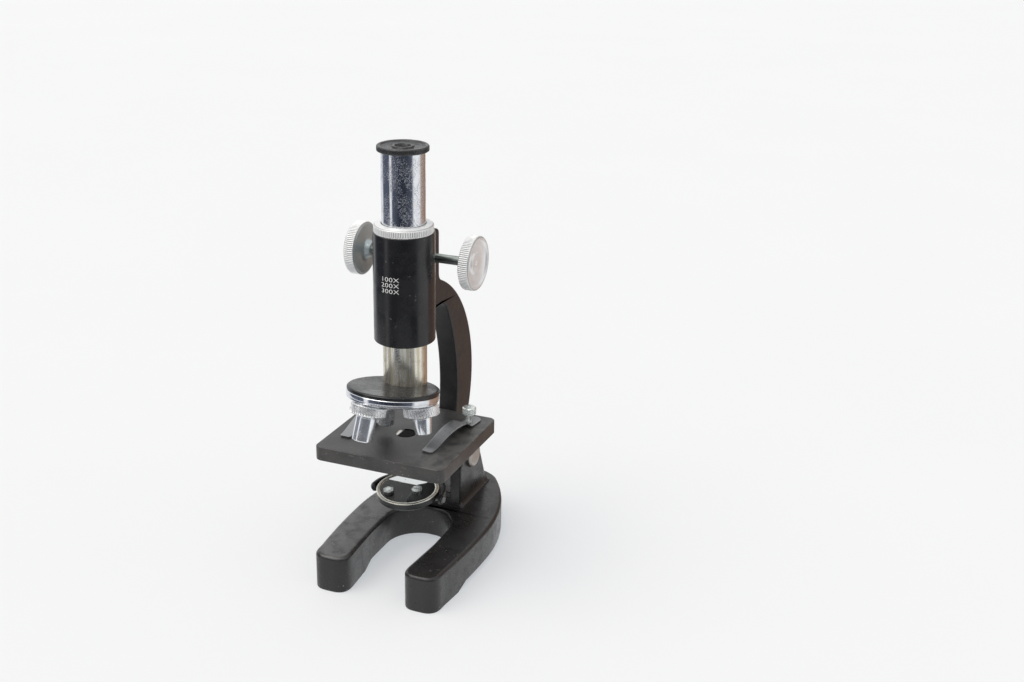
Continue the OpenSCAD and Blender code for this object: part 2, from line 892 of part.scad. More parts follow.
// Headed screw on the right that holds a clip down.
module clip_screw() {
    seat = clip_rest + clip_thick;
    translate([clip_x, clip_y, stage_top]) {
        translate([0, 0, -stage_thick - 2.6]) cylinder(r = clip_shaft_r, h = stage_thick + 2.6 + clip_head_low);
        translate([0, 0, seat]) cylinder(r = clip_neck_r, h = clip_head_low - seat);
        translate([0, 0, clip_head_low]) cylinder(r = clip_head_r - 0.4, h = 0.5);
        translate([0, 0, clip_head_low + 0.4]) cylinder(r = clip_head_r, h = clip_head_high - clip_head_low - 0.8);
        translate([0, 0, clip_head_high - 0.5]) cylinder(r = clip_head_r - 0.4, h = 0.5);
    }
}

module clip_nut() {
    translate([clip_x, clip_y, stage_bottom - 2.3]) difference() {
        cylinder(r = 3, h = 2, $fn = 6);
        translate([0, 0, -1]) cylinder(r = clip_shaft_r, h = 4);
    }
}

module clip_right() { color("silver") on_axis() clip_strip(clip_turn_right); }
module clip_screw_right() { color("silver") on_axis() clip_screw(); }
module clip_nut_right() { color("silver") on_axis() clip_nut(); }
module clip_left() { color("silver") on_axis() mirror([1, 0, 0]) clip_strip(clip_turn_left); }
module clip_screw_left() { color("silver") on_axis() mirror([1, 0, 0]) clip_screw(); }
module clip_nut_left() { color("silver") on_axis() mirror([1, 0, 0]) clip_nut(); }

// ---- mirror ----

module mirror_yoke() {
    color("dimgray") on_axis() translate([0, mirror_y, mirror_z]) difference() {
        union() {
            intersection() {
                ring(yoke_outer, yoke_inner, -yoke_half_height, yoke_half_height);
                translate([-yoke_outer, 0, -yoke_half_height])
                    cube([2 * yoke_outer, yoke_outer, 2 * yoke_half_height]);
            }
            for (side = [-1, 1]) intersection() {
                x_rod(yoke_half_height, side * 18.1 - 0.8, side * 18.1 + 0.8);
                translate([-yoke_outer, -yoke_half_height, -yoke_half_height])
                    cube([2 * yoke_outer, yoke_half_height + 1, 2 * yoke_half_height]);
            }
        }
        x_rod(pin_r, -yoke_outer - 1, yoke_outer + 1);
        y_rod(stem_r, 0, yoke_outer + 1);
    }
}

module yoke_stem() {
    color("dimgray") on_axis() translate([0, 0, mirror_z]) {
        y_rod(stem_r, mirror_y + yoke_inner - 0.4, stem_end);
        y_rod(3.2, mirror_y + yoke_outer, mirror_y + yoke_outer + 2.5);
        y_rod(3.2, hinge_y - boss_r - 3, hinge_y - boss_r - 0.5);
    }
}

module mirror_pivots() {
    color("silver") on_axis() translate([0, mirror_y, mirror_z]) for (side = [-1, 1]) mirror([side < 0 ? 1 : 0, 0, 0]) {
        x_rod(pin_r, mirror_r - 1.2, yoke_outer);
        x_rod(1.9, yoke_outer, yoke_outer + 1);
    }
}

module mirror_cup() {
    color("dimgray") on_axis() translate([0, mirror_y, mirror_z]) difference() {
        rotate([mirror_tilt, 0, 0]) rotate_extrude() polygon([
            [0, cup_low],
            [mirror_r - 1.6, cup_low],
            [mirror_r, cup_low + 1],
            [mirror_r, cup_high],
            [glass_r, cup_high],
            [glass_r, glass_low],
            [0, glass_low]
        ]);
        for (side = [-1, 1]) mirror([side < 0 ? 1 : 0, 0, 0]) x_rod(pin_r + shaft_fit, mirror_r - 1.4, mirror_r + 1);
    }
}

module mirror_bezel() {
    color("khaki") on_axis() translate([0, mirror_y, mirror_z]) rotate([mirror_tilt, 0, 0]) rotate_extrude() polygon([
        [glass_r - 0.6, glass_high],
        [glass_r, glass_high],
        [glass_r, cup_high],
        [mirror_r, cup_high],
        [mirror_r, bezel_high - 0.2],
        [mirror_r - 0.3, bezel_high],
        [glass_r - 0.3, bezel_high]
    ]);
}

module mirror_glass() {
    color("lightblue") on_axis() translate([0, mirror_y, mirror_z]) rotate([mirror_tilt, 0, 0])
        translate([0, 0, glass_low]) cylinder(r = glass_r, h = glass_high - glass_low);
}

horseshoe_base();
pillar();
pillar_bolts();
hinge_bolt();
hinge_washer();
hinge_nut();
limb();
stage();
stage_screws();
tube_sleeve();
guide_bush();
sleeve_ring();
pinion_shaft();
pinion_gear();
knob_left();
knob_right();
body_tube();
rack();
rack_screws();
tube_baffle();
nosepiece_plate();
nosepiece_screw();
nosepiece_disc();
collar_long();
collar_short();
collar_medium();
barrel_long();
barrel_short();
barrel_medium();
lens_long();
lens_short();
lens_medium();
eyepiece_tube();
eyepiece_cap();
eye_lens();
field_stop();
field_lens();
clip_left();
clip_screw_left();
clip_nut_left();
clip_right();
clip_screw_right();
clip_nut_right();
mirror_yoke();
yoke_stem();
mirror_pivots();
mirror_cup();
mirror_bezel();
mirror_glass();
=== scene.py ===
import math

import bmesh
import bpy
from mathutils import Matrix, Vector
from mathutils.geometry import tessellate_polygon


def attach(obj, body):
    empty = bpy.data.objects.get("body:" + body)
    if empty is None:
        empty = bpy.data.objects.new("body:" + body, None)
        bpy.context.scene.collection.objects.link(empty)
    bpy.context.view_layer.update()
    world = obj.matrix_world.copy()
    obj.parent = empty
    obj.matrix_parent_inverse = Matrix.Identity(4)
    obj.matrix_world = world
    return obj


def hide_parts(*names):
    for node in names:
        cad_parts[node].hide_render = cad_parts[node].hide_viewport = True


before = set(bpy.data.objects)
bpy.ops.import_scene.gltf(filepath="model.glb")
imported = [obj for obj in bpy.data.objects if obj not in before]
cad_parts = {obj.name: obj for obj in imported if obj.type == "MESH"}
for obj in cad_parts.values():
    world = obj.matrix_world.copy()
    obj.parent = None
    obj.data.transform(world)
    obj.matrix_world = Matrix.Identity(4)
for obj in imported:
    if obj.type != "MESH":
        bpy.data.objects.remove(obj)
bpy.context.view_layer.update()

# Shapes are drawn in millimetres around the optical tube's axis, then moved into the row frame in metres.
TAU = 2 * math.pi
AXIS_Y = -21.4
TO_ROW = Matrix.Scale(0.001, 4) @ Matrix.Translation((0, AXIS_Y, 0))
# Turns a shape drawn as (y, z, x) into (x, y, z): side views and things turned about X.
SIDE = Matrix(((0, 0, 1, 0), (1, 0, 0, 0), (0, 1, 0, 0), (0, 0, 0, 1)))
MIRROR_X = Matrix.Scale(-1, 4, (1, 0, 0))
# Places and sizes that several pieces share.
HINGE_AXLE = Matrix.Translation((0, 49, 43)) @ SIDE
PINION_AT = Vector((0, 14, 159.3))
SLEEVE_R = 14.5
STAGE_LOW, STAGE_TOP = 65.9, 73.0
LIGHT_HOLE_R = 4.7
CLIP_X, CLIP_Y = 23.5, 23
FOOT_TOP = 19.0
# The camera that took the photo, fitted to the edges in it: degrees, metres, and the lens for a 36 mm sensor.
PHOTO_AZIMUTH, PHOTO_PITCH, PHOTO_ROLL = 21.43, 20.65, 1.09
PHOTO_FROM = (0.26541, -0.55895, 0.34695)
PHOTO_LENS = 47.44
SHARP_DEGREES = 35


def at(x, y, z):
    return Matrix.Translation((x, y, z))


def turn(degrees, axis):
    return Matrix.Rotation(math.radians(degrees), 4, axis)


# ---- camera, floor and light ----

def camera():
    az, pitch, roll = (math.radians(a) for a in (PHOTO_AZIMUTH, PHOTO_PITCH, PHOTO_ROLL))
    forward = Vector((-math.sin(az) * math.cos(pitch), math.cos(az) * math.cos(pitch), -math.sin(pitch)))
    right = Vector((math.cos(az), math.sin(az), 0))
    up = right.cross(forward)
    image_x = math.cos(roll) * right + math.sin(roll) * up
    image_y = -math.sin(roll) * right + math.cos(roll) * up
    data = bpy.data.cameras.new("photo_camera")
    data.sensor_width = 36
    data.lens = PHOTO_LENS
    data.clip_start, data.clip_end = 0.01, 20
    cam = bpy.data.objects.new("photo_camera", data)
    bpy.context.scene.collection.objects.link(cam)
    aim = Matrix((image_x, image_y, -forward)).transposed()
    cam.matrix_world = Matrix.Translation(PHOTO_FROM) @ aim.to_4x4()
    bpy.context.scene.camera = cam


# The room that shiny parts see, fixed to the world: (degrees round from the photo's side to the right, colour).
ROOM = (
    (-180, (0.88, 0.89, 0.90)), (-128, (0.84, 0.86, 0.88)), (-116, (0.10, 0.11, 0.15)), (-72, (0.09, 0.10, 0.14)),
    (-67, (0.95, 0.93, 0.92)), (-60, (0.95, 0.95, 0.97)), (-54, (0.10, 0.11, 0.15)), (-15, (0.025, 0.03, 0.045)),
    (15, (0.03, 0.035, 0.05)), (50, (0.09, 0.10, 0.13)), (60, (0.95, 0.96, 0.97)), (98, (0.92, 0.92, 0.92)),
    (106, (0.42, 0.30, 0.24)), (158, (0.30, 0.18, 0.12)), (168, (0.88, 0.89, 0.90)),
)


def studio():
    """Two soft suns in a pale surround. Shiny parts see a ring of pale, dark and brown bands instead."""
    bpy.context.scene.view_settings.view_transform = "Standard"
    for name, energy, spread, way in (("key", 0.95, 50, (0.45, 0.35, -1.0)), ("fill", 0.60, 70, (0.1, 0.65, -0.9))):
        sun = bpy.data.lights.new(name, "SUN")
        sun.energy = energy
        sun.angle = math.radians(spread)
        sun.color = (1.0, 0.97, 0.93)
        lamp = bpy.data.objects.new(name, sun)
        bpy.context.scene.collection.objects.link(lamp)
        lamp.rotation_mode = "QUATERNION"
        lamp.rotation_quaternion = Vector(way).to_track_quat("-Z", "Y")
    world = bpy.data.worlds.new("studio")
    bpy.context.scene.world = world
    world.use_nodes = True
    tree = world.node_tree
    tree.nodes.clear()

    def node(kind, **settings):
        made = tree.nodes.new("ShaderNode" + kind)
        for key, value in settings.items():
            setattr(made, key, value)
        return made

    def dot(direction):
        made = node("VectorMath", operation="DOT_PRODUCT")
        made.inputs[1].default_value = direction
        tree.links.new(coord.outputs["Generated"], made.inputs[0])
        return made.outputs["Value"]

    def fade(value, low, high):
        made = node("MapRange", interpolation_type="SMOOTHSTEP")
        tree.links.new(value, made.inputs["Value"])
        made.inputs["From Min"].default_value, made.inputs["From Max"].default_value = low, high
        return made.outputs["Result"]

    def mixed(factor, a, b):
        made = node("Mix", data_type="RGBA")
        tree.links.new(factor, made.inputs["Factor"])
        for value, socket in ((a, made.inputs[6]), (b, made.inputs[7])):
            if isinstance(value, tuple):
                socket.default_value = value
            else:
                tree.links.new(value, socket)
        return made.outputs[2]

    coord = node("TexCoord")
    az = math.radians(PHOTO_AZIMUTH)
    toward, right = (math.sin(az), -math.cos(az), 0), (math.cos(az), math.sin(az), 0)
    compass = node("Math", operation="ARCTAN2")
    tree.links.new(dot(right), compass.inputs[0])
    tree.links.new(dot(toward), compass.inputs[1])
    share = node("MapRange")
    tree.links.new(compass.outputs[0], share.inputs["Value"])
    share.inputs["From Min"].default_value, share.inputs["From Max"].default_value = -math.pi, math.pi
    ramp = node("ValToRGB")
    stops = ramp.color_ramp.elements
    while len(stops) < len(ROOM):
        stops.new(1.0)
    for stop, (degrees, colour) in zip(stops, ROOM):
        stop.position = (degrees + 180) / 360
        stop.color = colour + (1,)
    tree.links.new(share.outputs["Result"], ramp.inputs["Fac"])
    height = dot((0, 0, 1))
    glossy = mixed(fade(height, 0.35, 0.75), ramp.outputs["Color"], (0.80, 0.81, 0.83, 1))
    path = node("LightPath")
    colour = mixed(path.outputs["Is Glossy Ray"], (0.56, 0.575, 0.60, 1), glossy)
    colour = mixed(path.outputs["Is Camera Ray"], colour, (0.84, 0.85, 0.86, 1))
    back = node("Background")
    out = node("OutputWorld")
    tree.links.new(colour, back.inputs["Color"])
    tree.links.new(back.outputs[0], out.inputs["Surface"])


# ---- procedural materials ----

class Paint:
    """A procedural material whose textures are laid out in millimetres of the piece itself."""

    def __init__(self, name, colour, rough, metal=0.0, **sockets):
        self.mat = bpy.data.materials.new(name)
        self.mat.use_nodes = True
        self.tree = self.mat.node_tree
        self.bsdf = self.tree.nodes["Principled BSDF"]
        self.colour = tuple(colour) + (1,)
        self.bsdf.inputs["Base Color"].default_value = self.colour
        self.bsdf.inputs["Roughness"].default_value = rough
        self.bsdf.inputs["Metallic"].default_value = metal
        self.rough = rough
        for socket, value in sockets.items():
            self.bsdf.inputs[socket.replace("_", " ")].default_value = value
        coord = self.tree.nodes.new("ShaderNodeTexCoord")
        self.mm = self.vector("MULTIPLY", coord.outputs["Object"], (1000, 1000, 1000))
        self.normal = None

    def join(self, value, socket):
        """Feeds a socket from another node's output, or from a plain number."""
        if isinstance(value, bpy.types.NodeSocket):
            self.tree.links.new(value, socket)
        else:
            socket.default_value = value

    def vector(self, operation, a, b=None):
        node = self.tree.nodes.new("ShaderNodeVectorMath")
        node.operation = operation
        self.join(a, node.inputs[0])
        if b is not None:
            self.join(b, node.inputs[1])
        return node.outputs["Value" if operation in ("LENGTH", "DOT_PRODUCT") else "Vector"]

    def times(self, a, b):
        node = self.tree.nodes.new("ShaderNodeMath")
        node.operation = "MULTIPLY"
        self.join(a, node.inputs[0])
        self.join(b, node.inputs[1])
        return node.outputs[0]

    def part(self, axis):
        node = self.tree.nodes.new("ShaderNodeSeparateXYZ")
        self.join(self.mm, node.inputs[0])
        return node.outputs[axis]

    def noise(self, size, detail, stretch=(1, 1, 1), shift=(0, 0, 0)):
        """Soft noise whose blobs are about size millimetres across."""
        spot = self.vector("ADD", self.vector("MULTIPLY", self.mm, stretch), shift)
        node = self.tree.nodes.new("ShaderNodeTexNoise")
        node.inputs["Scale"].default_value = 1.0 / size
        node.inputs["Detail"].default_value = detail
        node.inputs["Roughness"].default_value = 0.55
        self.join(spot, node.inputs["Vector"])
        return node.outputs["Fac"]

    def cells(self, size, feature="F1"):
        node = self.tree.nodes.new("ShaderNodeTexVoronoi")
        node.feature = feature
        node.inputs["Scale"].default_value = 1.0 / size
        self.join(self.mm, node.inputs["Vector"])
        return node.outputs["Distance"]

    def ramp(self, value, low, high, start=0.0, end=1.0):
        """Softly from start where value is low to end where it is high. low may be the larger number."""
        node = self.tree.nodes.new("ShaderNodeMapRange")
        node.interpolation_type = "SMOOTHSTEP"
        self.join(value, node.inputs["Value"])
        for socket, number in zip(("From Min", "From Max", "To Min", "To Max"), (low, high, start, end)):
            node.inputs[socket].default_value = number
        return node.outputs["Result"]

    def tint(self, mask, colour):
        """Lays a colour over what is there, where mask is 1."""
        node = self.tree.nodes.new("ShaderNodeMix")
        node.data_type = "RGBA"
        self.join(mask, node.inputs["Factor"])
        self.join(self.colour, node.inputs[6])
        self.join(tuple(colour) + (1,), node.inputs[7])
        self.colour = node.outputs[2]
        self.join(self.colour, self.bsdf.inputs["Base Color"])

    def roughen(self, mask, rough):
        """Gives the surface another roughness where mask is 1."""
        node = self.tree.nodes.new("ShaderNodeMix")
        self.join(mask, node.inputs["Factor"])
        self.join(self.rough, node.inputs[2])
        self.join(rough, node.inputs[3])
        self.rough = node.outputs[0]
        self.join(self.rough, self.bsdf.inputs["Roughness"])

    def bump(self, height, depth_mm):
        node = self.tree.nodes.new("ShaderNodeBump")
        node.inputs["Distance"].default_value = depth_mm * 0.001
        self.join(height, node.inputs["Height"])
        if self.normal is not None:
            self.join(self.normal, node.inputs["Normal"])
        self.normal = node.outputs["Normal"]
        self.join(self.normal, self.bsdf.inputs["Normal"])

    def edges(self, radius_mm):
        """1 where the surface turns within radius_mm, so on worn edges and corners."""
        bevel = self.tree.nodes.new("ShaderNodeBevel")
        bevel.samples = 4
        bevel.inputs["Radius"].default_value = radius_mm * 0.001
        flat = self.tree.nodes.new("ShaderNodeNewGeometry")
        same = self.vector("DOT_PRODUCT", bevel.outputs["Normal"], flat.outputs["Normal"])
        return self.ramp(same, 0.98, 0.8)

    def around(self, origin, axis):
        """Distance in millimetres from a line through origin along X, Y or Z."""
        keep = {"X": (0, 1, 1), "Y": (1, 0, 1), "Z": (1, 1, 0)}[axis]
        away = self.vector("SUBTRACT", self.mm, origin)
        return self.vector("LENGTH", self.vector("MULTIPLY", away, keep))


def black_enamel(name, colour, rough, scuff, worn, dust, peel=0.012, wave=0.03, dusty=None):
    """Old baked enamel: orange peel, dull handled patches, fine scratches, dust and edges worn pale.

    dusty makes the top of the foot paler from one x to another, by some amount."""
    p = Paint(name, colour, rough)
    p.tint(p.ramp(p.noise(30, 4), 0.35, 0.7, 0, 0.7), [c * 1.5 for c in colour])
    p.roughen(p.ramp(p.noise(9, 5), 0.42, 0.64), rough + 0.13)
    p.roughen(p.times(p.ramp(p.noise(2.2, 4, shift=(7, 0, 3)), 0.50, 0.66), scuff), 0.62)
    scratch = p.ramp(p.noise(0.35, 2, stretch=(1, 0.12, 0.7), shift=(0, 4, 1)), 0.70, 0.76)
    p.tint(p.times(scratch, scuff), (0.20, 0.19, 0.18))
    if dusty:
        start, end, amount = dusty
        top = p.ramp(p.part("Z"), FOOT_TOP - 1.4, FOOT_TOP - 0.3)
        side = p.times(p.ramp(p.part("X"), start, end, 0, amount), top)
        p.tint(p.times(side, p.ramp(p.noise(7, 5, shift=(1, 6, 2)), 0.25, 0.60)), (0.16, 0.158, 0.155))
    speck = p.times(p.ramp(p.cells(2.6), 0.16, 0.08), p.ramp(p.noise(10, 3, shift=(4, 4, 4)), 0.45, 0.62))
    p.tint(p.times(speck, dust * 1.6), (0.40, 0.39, 0.37))
    edge = p.times(p.edges(0.5), p.ramp(p.noise(2.6, 5), 0.40, 0.66))
    p.tint(p.times(edge, worn), (0.26, 0.25, 0.24))
    p.bump(p.noise(1.1, 2), peel)
    p.bump(p.noise(9, 2, shift=(2, 3, 4)), wave)
    return p.mat


def stage_black():
    """Matt black stage: fine crackle, rubbed patches, worn edges, and a light hole whose wall has painted shade, with
    a painted highlight of pale bare metal at its left.
    """
    p = Paint("stage_black", (0.034, 0.032, 0.031), 0.34)
    p.tint(p.ramp(p.noise(14, 4), 0.38, 0.68, 0, 0.8), (0.064, 0.060, 0.057))
    grain = p.noise(0.42, 3)
    p.tint(p.ramp(grain, 0.45, 0.75, 0, 0.4), (0.10, 0.097, 0.092))
    p.roughen(p.ramp(p.noise(6, 5), 0.4, 0.7), 0.33)
    top = p.ramp(p.part("Z"), STAGE_TOP - 0.6, STAGE_TOP - 0.1)
    dust = p.times(p.ramp(p.part("X"), 6, 28, 0, 0.7), top)
    p.tint(p.times(dust, p.ramp(p.noise(5, 5, shift=(3, 1, 1)), 0.35, 0.6)), (0.125, 0.122, 0.112))
    specks = p.times(p.ramp(p.cells(1.3), 0.14, 0.06), p.ramp(p.noise(9, 2, shift=(4, 4, 0)), 0.42, 0.62))
    p.tint(p.times(specks, 0.8), (0.55, 0.54, 0.50))
    scratch = p.ramp(p.noise(0.5, 2, stretch=(0.1, 1.2, 1)), 0.69, 0.75)
    scratch = p.times(scratch, p.ramp(p.noise(8, 2, shift=(2, 8, 5)), 0.5, 0.62))
    p.tint(p.times(scratch, 0.35), (0.3, 0.29, 0.28))
    edge = p.times(p.edges(0.45), p.ramp(p.noise(1.8, 5), 0.30, 0.56))
    p.tint(p.times(edge, 0.9), (0.52, 0.50, 0.46))
    # Painted shade: the light hole's wall is painted near black and matt, where shade falls inside the hole.
    wall = p.ramp(p.around((0, AXIS_Y, 0), "Z"), LIGHT_HOLE_R + 0.2, LIGHT_HOLE_R + 0.1)
    p.tint(wall, (0.004, 0.004, 0.004))
    p.roughen(wall, 0.9)
    # Painted highlight: the left side of the hole's wall is painted pale, shiny metal, standing in for a lit crescent
    # there.
    painted_highlight = p.times(wall, p.ramp(p.part("X"), -2.4, -3.6))
    p.tint(painted_highlight, (0.80, 0.79, 0.76))
    p.roughen(painted_highlight, 0.28)
    p.join(painted_highlight, p.bsdf.inputs["Metallic"])
    p.bump(grain, 0.03)
    p.bump(p.cells(0.9, "DISTANCE_TO_EDGE"), 0.02)
    return p.mat


def chrome(name, rough, pits, cloud, colour=(0.80, 0.82, 0.85), stain=0.25, cover=0.58, metal=1.0):
    """Old bright plating: fine pits, cloudy patches and a few brownish stains. A lower cover pits more of it."""
    p = Paint(name, colour, rough, metal)
    clouds = p.ramp(p.noise(3.5, 5), 0.42, 0.66)
    p.roughen(clouds, rough + cloud)
    dots = p.ramp(p.noise(0.5, 4, shift=(5, 1, 2)), cover, cover + 0.10)
    dots = p.times(dots, p.ramp(p.noise(5, 4, stretch=(1, 1, 0.5)), 0.36, 0.56))
    dots = p.times(dots, pits)
    p.tint(dots, (0.64, 0.66, 0.70))
    p.roughen(dots, 0.55)
    p.tint(p.ramp(p.noise(6, 4, shift=(9, 2, 6)), 0.55, 0.75, 0, stain), (0.62, 0.52, 0.42))
    p.bump(p.noise(0.6, 3), 0.006 * pits)
    p.bump(p.noise(9, 1), 0.05)
    return p.mat


def nickel_tube():
    """Worn nickel over brass, rubbed along the tube."""
    p = Paint("nickel_tube", (0.90, 0.88, 0.79), 0.27, 0.92)
    streak = p.noise(1.8, 5, stretch=(1, 1, 0.05))
    p.tint(p.ramp(streak, 0.45, 0.60), (0.70, 0.64, 0.49))
    rubbed = p.noise(1.3, 4, stretch=(1, 1, 0.08), shift=(3, 3, 3))
    p.tint(p.ramp(rubbed, 0.56, 0.66, 0, 0.7), (0.42, 0.37, 0.27))
    p.tint(p.ramp(p.noise(5, 5), 0.54, 0.70, 0, 0.5), (0.42, 0.37, 0.29))
    p.tint(p.ramp(p.noise(0.5, 3), 0.62, 0.72, 0, 0.5), (0.30, 0.27, 0.22))
    p.roughen(p.ramp(streak, 0.4, 0.65), 0.40)
    p.bump(p.noise(0.35, 2, stretch=(1, 1, 0.04)), 0.012)
    return p.mat


def turned(name, colour, rough, origin, axis, rim, metal, spin=0.0, shaded_dish=None):
    """Metal off a lathe: fine rings around a line, duller bands, small nicks, and painted shade in the rim's grooves.

    rim is the radius at the grooves' floor and at their crest. The last argument paints shade, with a teal painted
    reflection, over a span of x inside the rim."""
    p = Paint(name, colour, rough, metal, Anisotropic=spin)
    if spin:
        way = p.tree.nodes.new("ShaderNodeTangent")
        way.direction_type, way.axis = "RADIAL", axis
        p.join(way.outputs[0], p.bsdf.inputs["Tangent"])
    away = p.around(origin, axis)
    grooves = p.tree.nodes.new("ShaderNodeTexNoise")
    grooves.noise_dimensions = "1D"
    grooves.inputs["Scale"].default_value = 1 / 0.28
    grooves.inputs["Detail"].default_value = 3
    p.join(away, grooves.inputs["W"])
    rings = grooves.outputs["Fac"]
    p.roughen(p.ramp(rings, 0.3, 0.7), rough + 0.12)
    p.tint(p.ramp(p.noise(4, 5), 0.45, 0.7, 0, 0.35), [c * 0.8 for c in colour])
    nick = p.ramp(p.noise(0.8, 4, shift=(3, 1, 7)), 0.66, 0.74, 0, 0.5)
    p.tint(nick, [c * 0.45 for c in colour])
    low, high = rim
    # Painted shade: darker towards the floor of the rim's grooves, standing in for the shade in them.
    dirt_and_shade = p.times(p.ramp(away, high - 0.06, high - 0.26), p.ramp(away, low - 0.1, low))
    p.tint(p.times(dirt_and_shade, 0.75), (0.40, 0.41, 0.40))
    if shaded_dish:
        left, right, shade = shaded_dish
        # Painted shade with a teal painted reflection, on the left knob's inner face.
        inner = p.times(p.ramp(p.part("X"), right, right - 0.2), p.ramp(p.part("X"), left, left + 0.2))
        p.tint(p.times(inner, p.ramp(away, low + 0.1, low - 0.1)), shade)
    p.bump(rings, 0.01)
    p.bump(p.noise(0.9, 4), 0.006)
    return p.mat


def plain_metal(name, colour, rough, grain=(1, 1, 1), dirt_and_shade=(0.2, 0.2, 0.2), dirt_amount=0.4, depth=0.01,
                metal=1.0):
    """Rolled or ground metal with a directional grain and some dirt."""
    p = Paint(name, colour, rough, metal)
    lines = p.noise(0.5, 4, stretch=grain)
    p.roughen(p.ramp(lines, 0.35, 0.65), rough + 0.14)
    p.tint(p.ramp(p.noise(2.2, 5), 0.5, 0.72, 0, dirt_amount), dirt_and_shade)
    p.tint(p.ramp(p.noise(0.6, 3, shift=(2, 2, 2)), 0.62, 0.72, 0, dirt_amount), [c * 0.5 for c in colour])
    p.bump(lines, depth)
    return p.mat


def black_plastic():
    p = Paint("cap_plastic", (0.034, 0.034, 0.035), 0.22)
    p.roughen(p.ramp(p.noise(1.6, 5), 0.35, 0.7), 0.5)
    p.tint(p.ramp(p.noise(3, 6), 0.45, 0.72, 0, 0.6), (0.085, 0.085, 0.088))
    p.tint(p.ramp(p.cells(1.6), 0.1, 0.04, 0, 0.3), (0.3, 0.3, 0.3))
    p.bump(p.noise(0.4, 3), 0.01)
    return p.mat


def lens_glass():
    p = Paint("lens_glass", (0.03, 0.04, 0.055), 0.03, Transmission_Weight=0.25, IOR=1.55, Coat_Weight=1.0,
              Coat_Roughness=0.02, Coat_Tint=(0.75, 0.8, 1.0, 1))
    p.roughen(p.ramp(p.noise(1.2, 5), 0.5, 0.8), 0.12)
    p.tint(p.ramp(p.cells(0.9), 0.08, 0.03, 0, 0.4), (0.3, 0.3, 0.3))
    p.bump(p.noise(3, 2), 0.004)
    return p.mat


def silvered_glass():
    p = Paint("silvered_glass", (0.80, 0.83, 0.81), 0.02, 1.0, Coat_Weight=1.0, Coat_Roughness=0.02)
    p.roughen(p.ramp(p.noise(2.5, 6), 0.5, 0.75), 0.09)
    spots = p.ramp(p.cells(2.6), 0.14, 0.08)
    spots = p.times(spots, p.ramp(p.noise(7, 3), 0.45, 0.6))
    p.tint(spots, (0.16, 0.15, 0.12))
    p.roughen(spots, 0.5)
    p.bump(p.noise(12, 1), 0.02)
    return p.mat


def white_ink():
    p = Paint("white_ink", (0.80, 0.80, 0.78), 0.5)
    p.tint(p.ramp(p.noise(0.5, 4), 0.5, 0.7, 0, 0.6), (0.42, 0.42, 0.41))
    p.bump(p.noise(0.3, 3), 0.01)
    return p.mat


def floor_cloth():
    """Photographer's white paper, lit a little from behind, which keeps the shadows on it pale and cool."""
    p = Paint("floor_cloth", (0.52, 0.50, 0.47), 0.9)
    p.tint(p.ramp(p.noise(220, 3), 0.35, 0.7, 0, 0.5), (0.535, 0.515, 0.485))
    p.bsdf.inputs["Emission Color"].default_value = (0.405, 0.425, 0.45, 1)
    p.bsdf.inputs["Emission Strength"].default_value = 1.0
    p.bump(p.noise(1.2, 3), 0.01)
    return p.mat


# ---- mesh tools ----

def piece(name, verts, faces, place, material, body, slot, replaced=(), sharp=SHARP_DEGREES, weighted=False):
    """A mesh drawn in millimetres, put in place and tied to its body; the CAD nodes it replaces are hidden. slot is
    not used.
    """
    mesh = bpy.data.meshes.new(name)
    mesh.from_pydata([tuple(v) for v in verts], [], faces)
    mesh.transform(TO_ROW @ place)
    work = bmesh.new()
    work.from_mesh(mesh)
    bmesh.ops.remove_doubles(work, verts=work.verts, dist=1e-7)
    bmesh.ops.recalc_face_normals(work, faces=work.faces)
    work.to_mesh(mesh)
    work.free()
    mesh.shade_smooth()
    mesh.set_sharp_from_angle(angle=math.radians(sharp))
    made = bpy.data.objects.new(name, mesh)
    bpy.context.scene.collection.objects.link(made)
    made.data.materials.append(material)
    if weighted:
        made.modifiers.new("normals", "WEIGHTED_NORMAL").keep_sharp = True
    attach(made, body)
    if replaced:
        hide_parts(*replaced)
    return made


def rounded(points, radius, steps=4):
    """Each corner of a closed outline turned into an arc. A point may carry its own radius as a third number."""
    out = []
    count = len(points)
    for i, point in enumerate(points):
        corner = Vector(point[:2])
        r = point[2] if len(point) > 2 else radius
        if r <= 0:
            out.append(corner)
            continue
        u = Vector(points[i - 1][:2]) - corner
        v = Vector(points[(i + 1) % count][:2]) - corner
        room = 0.45 * min(u.length, v.length)
        u.normalize()
        v.normalize()
        half = math.acos(max(-1, min(1, u.dot(v)))) / 2
        if half > 1.5 or half < 0.02:
            out.append(corner)
            continue
        cut = min(r / math.tan(half), room)
        r = cut * math.tan(half)
        centre = corner + (u + v).normalized() * (r / math.sin(half))
        first, last = corner + u * cut - centre, corner + v * cut - centre
        sweep = first.angle_signed(last)
        for k in range(steps + 1):
            out.append(centre + Matrix.Rotation(-sweep * k / steps, 2) @ first)
    return out


def split_band(points, low, high, rows):
    """Adds rows to the outline's steep sides between two heights, so that a knurl has something to bend."""
    out = []
    for i, a in enumerate(points):
        b = points[(i + 1) % len(points)]
        out.append(a)
        steep = abs(b[1] - a[1]) > 0.35 * (high - low) and abs(b[0] - a[0]) < 0.3
        if steep and min(a[1], b[1]) > low - 1 and max(a[1], b[1]) < high + 1:
            out += [a.lerp(b, k / rows) for k in range(1, rows)]
    return out


def knurl(radius, low, high, count, depth, slant=0.0, fade=0.35, flat=0.5):
    """Straight or slanted grooves cut into a rim: how deep the surface lies at r, z and angle a."""
    def cut(r, z, a):
        if r < radius - 0.45 or z < low or z > high:
            return 0.0
        ease = min(1.0, (z - low) / fade, (high - z) / fade)
        wave = 0.5 + 0.5 * math.cos(count * a + slant * (z - low))
        return depth * ease * (1 - min(1.0, wave / flat))
    return cut


